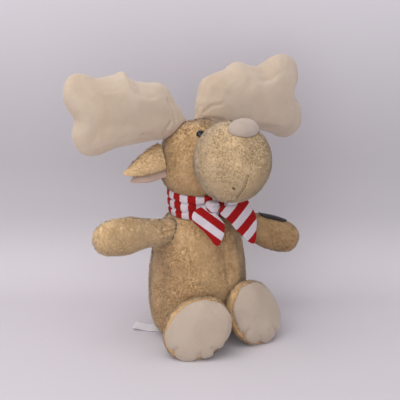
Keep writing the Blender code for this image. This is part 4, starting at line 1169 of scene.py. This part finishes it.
def build_arm(side, made, looks):
    """A paddle arm, creased at its root; gives its plain form and its place."""
    name = side_name(side)
    raised, swung_by = (math.radians(a) for a in ((5, 4) if side < 0 else (-24, 20)))
    flat = math.cos(raised)
    outward = (side * flat * math.cos(swung_by), -flat * math.sin(swung_by), math.sin(raised))
    place = aim(shoulder(side), outward, UPWARDS)
    rows = limb_rows(ARM_ROOT, ARM_LENGTH, HAND, ARM_ROWS)
    form = placed(rounded(swelling_cage(8, rows), 4), place)
    mesh = form.copy()
    points, normals = points_of(mesh)
    points = lumpy(points, normals, 0.016, 0.0012, 30.0 + side)
    if side < 0:
        along = (points - np.array(shoulder(side))) @ np.array(outward) / ARM_LENGTH
        fullest = np.exp(-(((along - 0.52) / 0.24) ** 2))
        points[:, 2] += fullest * np.maximum(normals[:, 2], 0.0) * RIGHT_ARM_SWELL
    tree = tree_of(form)
    for pixels in ARM_PLEATS[name]:
        points = pressed(points, normals, seen_line(tree, pixels), 0.0015, 0.0013)
    set_points(mesh, points)
    mesh = cut(mesh, trunk_room(made["torso"], shoulder(side), ARM_ROOT + SEAT_GAP - GAP))
    # The right arm takes the tan plush painted lighter, as painted light
    look = looks["painted_lit_plush" if side < 0 else "plush"]
    skin = piece(name + "_arm_skin", mesh, look, name + "_arm", [name + "_arm_cover"])
    return form, place


def build_leg(side, made, looks):
    """A short leg that swells into a foot, and the cream sole that closes it."""
    name, body = side_name(side), side_name(side) + "_leg"
    splay, roll, tilt = (math.radians(a) for a in ((35, -50, 8) if side < 0 else (1, 28, 12)))
    forward = toward(side * splay, tilt)
    place = aim(hip(side), forward, UPWARDS) @ Matrix.Rotation(roll, 4, "Z")
    rows = limb_rows(LEG_ROOT, LEG_LENGTH, FOOT, LEG_ROWS)
    form = placed(rounded(swelling_cage(8, rows), 4), place)
    points, normals = points_of(form)
    set_points(form, lumpy(points, normals, 0.014, 0.0010, 40.0 + side))
    ahead_of = place @ Matrix.Translation((0, 0, LEG_LENGTH * 1.5))
    front = placed(block((0.12, 0.12, LEG_LENGTH)), ahead_of)
    swing = math.radians(12 if side < 0 else 20)
    room = trunk_room(made["torso"], hip(side), LEG_ROOT + SEAT_GAP - 2 * GAP, -side * swing)
    floor = placed(block((0.4, 0.4, 0.1)), Matrix.Translation((0, 0, -0.0497)))
    leg = cut(form, front, room, floor)
    skin = piece(name + "_leg_skin", leg, looks["plush"], body, [name + "_leg_cover"])
    sole_at = place @ Matrix.Translation((0, 0, LEG_LENGTH + GAP))
    corners = [sole_at @ Vector(corner) for corner in ((-1, -1, 0), (1, -1, 0), (0, 1, 0))]
    seen = tree_of(plain_mesh("front", corners, [(0, 1, 2)]))
    tucks = [sole_at.inverted() @ seen_at(seen, x, y) for x, y in TOE_TUCKS[name]]
    sole = placed(sole_bag(side, [math.atan2(t.y, t.x) for t in tucks]), sole_at)
    points, _ = points_of(sole)
    ahead = np.array(sole_at.col[2][:3])
    shift = np.array((0.0011, -0.0008, -0.0006))
    points += shift - ahead * (shift @ ahead)
    points[:, 2] = np.maximum(points[:, 2], FLOOR_GAP)
    set_points(sole, points)
    cloth = piece(name + "_sole_cloth", sole, looks["sole"], body, [name + "_sole"])
    front_of = tree_of(cloth.data)
    inward = -(sole_at.to_3x3() @ Vector(UPWARDS))
    lines = []
    for tuck in tucks:
        line = [sole_at @ Vector((tuck.x * s, tuck.y * s, 0.02)) for s in (0.90, 0.82, 0.74)]
        hits = [front_of.ray_cast(point, inward)[0] for point in line]
        lines.append([hit for hit in hits if hit])
    if side > 0:
        lines.append(seen_line(front_of, SOLE_DOT))
    lines = [line for line in lines if len(line) > 1]
    thread = (looks["stitch_tree"], looks["pale_thread"], body)
    sew(name + "_toe_stitches", lines, *thread, spacing=0.0034, length=0.0026, thickness=0.0005)


def sole_bag(side, tucks):
    """A flat-backed oval cushion whose toe edge is drawn in by stitched tucks."""
    turns = np.linspace(0, 2 * math.pi, 160, endpoint=False)
    reach = np.full(len(turns), 1.0)
    for tuck in tucks:
        away = np.abs((turns - tuck + math.pi) % (2 * math.pi) - math.pi)
        reach -= 0.07 * np.exp(-((away / 0.10) ** 2))
    half_wide, half_high = FOOT[0] / 2, FOOT[1] / 2
    outline = np.column_stack(
        [np.cos(turns) * half_wide * reach, np.sin(turns) * half_high * reach]
    )
    mesh = puffed(stuffed_bag(outline, (0.0, 0.0), 0.0058, 0.0008, 22, 0.0008), 0.0017, 6.0, 0.004)
    points, normals = points_of(mesh)
    points = lumpy(points, normals, 0.013, 0.0009, 50.0 + side)
    for tuck in tucks:
        across, high = math.cos(tuck) * half_wide, math.sin(tuck) * half_high
        line = [
            (across * share, high * share, 0.0065 * drop)
            for share, drop in ((0.98, 0.0), (0.91, 0.55), (0.84, 0.85), (0.77, 1.0))
        ]
        points = pressed(points, normals, line, 0.0022, 0.0015)
    points[:, 2] = np.maximum(points[:, 2], 0.0)
    set_points(mesh, points)
    return mesh


def write_uv(mesh, pattern):
    """Gives a mesh a UV map from a function of its points; no face spans the full turn's jump."""
    full_turn = 360.0 / STRIPE_PAIR
    layer = mesh.uv_layers.new(name="UVMap")
    points, _ = points_of(mesh)
    corners = np.empty(len(mesh.loops), int)
    mesh.loops.foreach_get("vertex_index", corners)
    values = pattern(points)[corners]
    starts = np.empty(len(mesh.polygons), int)
    mesh.polygons.foreach_get("loop_start", starts)
    owner = np.repeat(np.arange(len(starts)), np.diff(np.append(starts, len(corners))))
    first = values[starts, 0][owner]
    values[:, 0] -= np.round((values[:, 0] - first) / full_turn) * full_turn
    layer.data.foreach_set("uv", values.ravel())


def band_point(turn, angle):
    """A point of the scarf's gathered band, at a turn round the neck and round its thickness."""
    across, up = math.cos(angle), math.sin(angle)
    height = 0.5 + 0.5 * math.copysign(abs(up) ** 0.7, up)
    ripple = noise.noise(Vector((math.cos(turn) * 4.5, math.sin(turn) * 4.5, height * 1.2)))
    rolls = 0.0
    for level in (0.30 + ripple * 0.06, 0.66 + ripple * 0.05):
        rolls -= ROLL_DEPTH * math.exp(-(((height - level) / ROLL_WIDTH) ** 2))
    out = 0.5 + 0.5 * math.copysign(abs(across) ** 0.55, across)
    out += max(0.0, across) * (rolls + 0.10 * ripple)
    radius = SCARF_RADIUS + out * SCARF_THICK * (0.72 + 0.38 * height)
    lift = SCARF_TALL * (height + 0.05 * ripple)
    return (radius * math.cos(turn), radius * math.sin(turn), lift)


def band_pattern(points):
    """The band's stripes: each roll is shifted a little against the one below."""
    bearing = np.degrees(np.arctan2(points[:, 0], -points[:, 1]))
    layer = np.floor((points[:, 2] - SCARF_BOTTOM) / SCARF_TALL * 3)
    pairs = (bearing + 45.0) / STRIPE_PAIR + 0.025 * layer - 0.05
    return np.column_stack([pairs, points[:, 2]])


def build_scarf(made, looks):
    """A gathered band in three soft rolls round the neck, its knot and its two ends."""
    around, layers = 288, 84
    points, faces = [], []
    for k in range(around):
        n = (k + 1) % around
        for j in range(layers):
            m = (j + 1) % layers
            points.append(band_point(2 * math.pi * k / around, 2 * math.pi * (j / layers)))
            faces.append([k * layers + j, n * layers + j, n * layers + m, k * layers + m])
    band_at = Matrix.Translation((0, 0, SCARF_BOTTOM)) @ Matrix.Rotation(SCARF_TILT, 4, "X")
    mesh = cut(placed(plain_mesh("band", points, faces), band_at), grown(made["torso"], GAP))
    write_uv(mesh, band_pattern)
    band = piece("scarf_cloth", mesh, looks["cotton"], "trunk", ["scarf_band"])
    wide = rod(SCARF_RADIUS + SCARF_THICK + 2 * GAP, SCARF_TALL * 1.1, 96)
    wide = placed(wide, band_at @ Matrix.Translation((0, 0, SCARF_TALL / 2)))
    knot = ball(KNOT_SIZE[1] / 2, 64, 40, KNOT_SHAPE)
    points, normals = points_of(knot)
    folds = np.sin(points[:, 2] * 1900 + points[:, 0] * 260)
    folds *= np.exp(-((points[:, 0] / 0.006) ** 2))
    set_points(knot, points + normals * (folds * 0.00035)[:, None])
    knot = cut(placed(knot, Matrix.Translation(KNOT)), wide)
    write_uv(knot, lambda p: np.column_stack([(p[:, 0] + 0.9 * p[:, 2]) / 0.026 + 0.72, p[:, 2]]))
    knot_piece = piece("knot_cloth", knot, looks["cotton"], "trunk", ["bow_knot"])
    build_tail("right", RIGHT_TAIL_OUTLINE, math.radians(-27), (0.62, 0.78), 0.0118, 0.645, looks)
    build_tail("left", LEFT_TAIL_OUTLINE, math.radians(-5), (0.62, -0.78), 0.0134, 0.75, looks)


def build_tail(name, shares, facing, across, pair, start, looks):
    """One end of the scarf, folded double and spread below the knot."""
    normal = Vector((math.sin(facing), -math.cos(facing), math.tan(TAIL_LEAN)))
    sideways = Vector((math.cos(facing), math.sin(facing), 0.0))
    place = aim(KNOT + normal.normalized() * 0.0045, normal, sideways)
    outline = smooth_outline(shares, (TAIL, TAIL), 110)
    mesh = stuffed_bag(outline, outline.mean(0), 0.0021, 0.0021, 18, 0.0005)
    points, normals = points_of(mesh)
    ripple = np.sin(points[:, 0] * 420 * across[0] + points[:, 1] * 420 * across[1]) * 0.0004
    points = lumpy(points, normals, 0.008, 0.0007, 60.0)
    points[:, 2] += ripple
    set_points(mesh, points)
    step = np.array(across) / np.linalg.norm(across)

    def pattern(points):
        along = points[:, 0] * step[1] - points[:, 1] * step[0]
        return np.column_stack([(points[:, :2] @ step) / pair + start, along])

    write_uv(mesh, pattern)
    knot_room = placed(ball(KNOT_SIZE[1] / 2 + SEAT_GAP, 48, 32, KNOT_SHAPE), Matrix.Translation(KNOT))
    mesh = cut(placed(mesh, place), knot_room)
    body = name + "_bow_tail"
    tail = piece(name + "_tail_cloth", mesh, looks["cotton"], body, [body])


def strip(name, points, across, along, thickness, turned):
    """A thin strip of cloth through rows of points."""
    faces = []
    for i in range(along - 1):
        for j in range(across - 1):
            a = i * across + j
            face = [a, a + 1, a + across + 1, a + across]
            faces.append([face[0], *face[:0:-1]] if turned else face)
    mesh = plain_mesh(name, points, faces)
    return baked(helper(mesh, [("SOLIDIFY", {"thickness": thickness, "offset": 0.0})]))


def build_arm_tag(form, place, looks):
    """A bare satin tag sewn on the top of the left arm."""
    tree = tree_of(form)
    inward = -(place.to_3x3() @ Vector(SIDEWAYS))
    across, along = 15, 25
    points = []
    for i in range(along):
        for j in range(across):
            u, v = i / (along - 1) * 2 - 1, j / (across - 1) * 2 - 1
            width = TAG[0] / 2 * math.sqrt(max(0.0, 1 - abs(u) ** 3.2))
            flat = place @ Vector((0.03, v * width, ARM_LENGTH * 0.56 + u * TAG[1] / 2))
            hit, normal, _, _ = tree.ray_cast(flat, inward)
            points.append(hit + normal * (GAP + 0.0007 + 0.0004 * abs(v)))
    mesh = strip("tag", points, across, along, 0.0005, False)
    tag = piece("arm_tag_satin", mesh, looks["satin"], "left_arm", ["arm_tag"])


def build_care_label(looks):
    """A bare satin label that lies on the floor at the trunk's right side."""
    bearing, slant = math.radians(147), math.radians(-12)
    root = Vector((math.cos(bearing), math.sin(bearing), 0.0)) * 0.0270
    place = Matrix.Translation(root) @ Matrix.Rotation(bearing + slant, 4, "Z")
    across, along = 13, 29
    points = []
    for i in range(along):
        for j in range(across):
            u, v = i / (along - 1), j / (across - 1) * 2 - 1
            rise = 0.0006 + 0.0009 * u * u + 0.0005 * math.sin(u * 9) * u + 0.0006 * u * v * v
            points.append(place @ Vector((u * LABEL[1], v * LABEL[0] / 2, rise)))
    mesh = strip("label", points, across, along, 0.0004, True)
    label = piece("care_label_satin", mesh, looks["label"], "care_label", ["care_label"])


def plant_all(made, looks):
    """Pile on every tan skin and a shorter one on the muzzle."""
    # light is the tan pile painted lighter, as painted light on the right arm and the ears
    tan, light, pale = (
        (pile_tree(looks[key]), looks[key]) for key in ("pile", "painted_lit_pile", "muzzle_pile")
    )
    torso, skull, muzzle = (tree_of(made[key]) for key in ("torso", "skull", "muzzle"))

    def near(*names):
        return [tree_of(bpy.data.objects[name].data) for name in names]

    band = near("scarf_cloth")
    down = (0.0, 0.0, -0.45)
    limbs = near("right_arm_skin", "left_arm_skin", "right_leg_skin", "left_leg_skin")
    tails = near("right_tail_cloth", "left_tail_cloth")
    covers = [*limbs, *band]
    grow_pile("torso_skin", "torso_pile", tan, "trunk", covers, 2.1, 0.0016, 0.00026, down, 1, tails)
    roots = near("right_antler_skin", "left_antler_skin", "right_ear_skin", "left_ear_skin")
    covers = [muzzle, torso, *band, *roots]
    grow_pile("head_skin", "head_pile", tan, "head", covers, 3.0, 0.0014, 0.00024, down, 2)
    covers = [skull, torso, *near("nose_pad")]
    grow_pile("muzzle_skin", "muzzle_pile", pale, "head", covers, 3.2, 0.0011, 0.00022, down, 3)
    for side in (-1, 1):
        name = side_name(side)
        fur = light if side < 0 else tan
        below = swung(made["torso"], shoulder(side), "Y", math.radians(12)) if side < 0 else []
        outside = swung(made["torso"], hip(side), "Z", math.radians(12 if side < 0 else -20))
        inward = (-side * 1.1, -0.3, 0.0)
        linings, soles = near(name + "_ear_cloth"), near(name + "_sole_cloth")
        for part, pile, kind, covers, *values in (
            ("arm", "arm_pile", fur, [torso, *below], 3.0, 0.0015, 0.00025, down, 5, (), None),
            ("arm", "arm_fringe", fur, [], 5.0, 0.0021, 0.00024, inward, 25, (), torso),
            ("leg", "leg_pile", tan, [torso, *soles, *outside], 3.0, 0.0014, 0.00025, down, 8, (), None),
            ("ear", "ear_pile", light, [skull, *linings], 3.0, 0.0012, 0.00024, down, 11, (), None),
        ):
            values[4] += side
            body = f"{name}_{part}"
            grow_pile(body + "_skin", f"{name}_{pile}", kind, body, covers, *values)


def finish_inner_nodes(looks):
    """Materials of the pieces that stay as they were drawn, inside the skins."""
    for name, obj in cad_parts.items():
        if name.endswith("_stuffing"):
            look = looks["filling"]
        elif name == "pellet_bag":
            look = looks["label"]
        elif name.endswith("_washer"):
            look = looks["bead"]
        else:
            continue
        obj.data.materials.clear()
        obj.data.materials.append(look)


def stage_look(name, near, painted_shade_middle, far):
    """Pale paper with painted shade darkening it where it turns up, and seen only from its front."""
    look, tree, shader = new_look(name, 0.9, specular=0.1)
    place = node(tree, "ShaderNodeTexCoord").outputs["Object"]
    height = node(tree, "ShaderNodeSeparateXYZ", place).outputs["Z"]
    colour = near
    for low, top, above in ((0.0, 0.06, painted_shade_middle), (0.10, 0.30, far)):
        share = ranged(tree, height, low, top, interpolation_type="SMOOTHSTEP")
        colour = mix_colour(tree, share, colour, above)
    put(tree, shader.inputs["Base Color"], colour)
    behind = node(tree, "ShaderNodeNewGeometry").outputs["Backfacing"]
    clear = node(tree, "ShaderNodeBsdfTransparent").outputs[0]
    choose = node(tree, "ShaderNodeMixShader", behind, shader.outputs[0], clear)
    put(tree, tree.nodes["Material Output"].inputs["Surface"], choose.outputs[0])
    return look


def build_stage():
    """A pale floor that curves up into a wall behind the toy."""
    wall, bend, reach = 0.16, 0.10, 1.6
    profile = [(-reach, 0.0), (-0.4, 0.0), (wall - bend, 0.0)]
    for k in range(1, 13):
        turn = math.radians(7.5 * k)
        profile.append((wall - bend + bend * math.sin(turn), bend - bend * math.cos(turn)))
    profile += [(wall, 0.5), (wall, reach)]
    points = [(x, y, z) for y, z in profile for x in (-reach, reach)]
    faces = [[2 * k, 2 * k + 1, 2 * k + 3, 2 * k + 2] for k in range(len(profile) - 1)]
    mesh = placed(plain_mesh("sweep", points, faces), Matrix.Rotation(VIEW_AZIMUTH, 4, "Z"))
    # The middle colour is painted shade where the floor bends up into the wall
    near, painted_shade_middle, far = (0.655, 0.625, 0.655), (0.50, 0.478, 0.505), (0.66, 0.63, 0.67)
    mesh.materials.append(stage_look("pale_paper", near, painted_shade_middle, far))
    sweep = bpy.data.objects.new("paper_sweep", mesh)
    bpy.context.scene.collection.objects.link(sweep)


def aimed_object(name, data, distance, way):
    """A lamp or camera at a distance from the toy, looking back at it."""
    obj = bpy.data.objects.new(name, data)
    obj.location = VIEW_TARGET + way * distance
    obj.rotation_mode = "QUATERNION"
    obj.rotation_quaternion = (-way).to_track_quat("-Z", "Y")
    bpy.context.scene.collection.objects.link(obj)
    return obj


def add_lamp(name, azimuth, rise, distance, size, power, colour):
    """A soft square lamp that points at the toy."""
    data = bpy.data.lights.new(name, "AREA")
    data.size = size
    data.energy = power
    data.color = colour
    aimed_object(name, data, distance, toward(math.radians(azimuth), math.radians(rise)))


def light_the_scene():
    """A large soft lamp from above, another from the front and a pale surround."""
    add_lamp("top_lamp", -70, 60, 1.1, 0.9, 5.8, (1.0, 0.98, 0.95))
    add_lamp("front_lamp", -45, 14, 1.3, 0.9, 4.6, (0.99, 0.98, 1.0))
    world = bpy.data.worlds.new("soft_room")
    bpy.context.scene.world = world
    world.use_nodes = True
    background = world.node_tree.nodes["Background"]
    background.inputs["Color"].default_value = (0.93, 0.92, 0.96, 1.0)
    background.inputs["Strength"].default_value = 0.64
    bpy.context.scene.view_settings.view_transform = "Standard"


def add_camera():
    """The picture's viewpoint."""
    data = bpy.data.cameras.new("camera")
    data.lens = 90.0
    data.sensor_width = 36.0
    data.shift_x = 0.0075
    data.clip_start = 0.01
    bpy.context.scene.camera = aimed_object("camera", data, VIEW_DISTANCE, VIEW_BACK)


add_camera()
light_the_scene()
build_stage()
LOOKS = all_looks()
LOOKS["stitch_tree"] = stitch_tree(LOOKS["thread"])
MADE = forms()
finish_inner_nodes(LOOKS)
build_torso(MADE, LOOKS)
build_head(MADE, LOOKS)
build_nose(MADE, LOOKS)
build_scarf(MADE, LOOKS)
for SIDE in (-1, 1):
    build_eye(SIDE, MADE, LOOKS)
    build_ear(SIDE, MADE, LOOKS)
    build_antler(SIDE, MADE, LOOKS)
    ARM_FORM, ARM_PLACE = build_arm(SIDE, MADE, LOOKS)
    build_leg(SIDE, MADE, LOOKS)
build_arm_tag(ARM_FORM, ARM_PLACE, LOOKS)
build_care_label(LOOKS)
plant_all(MADE, LOOKS)
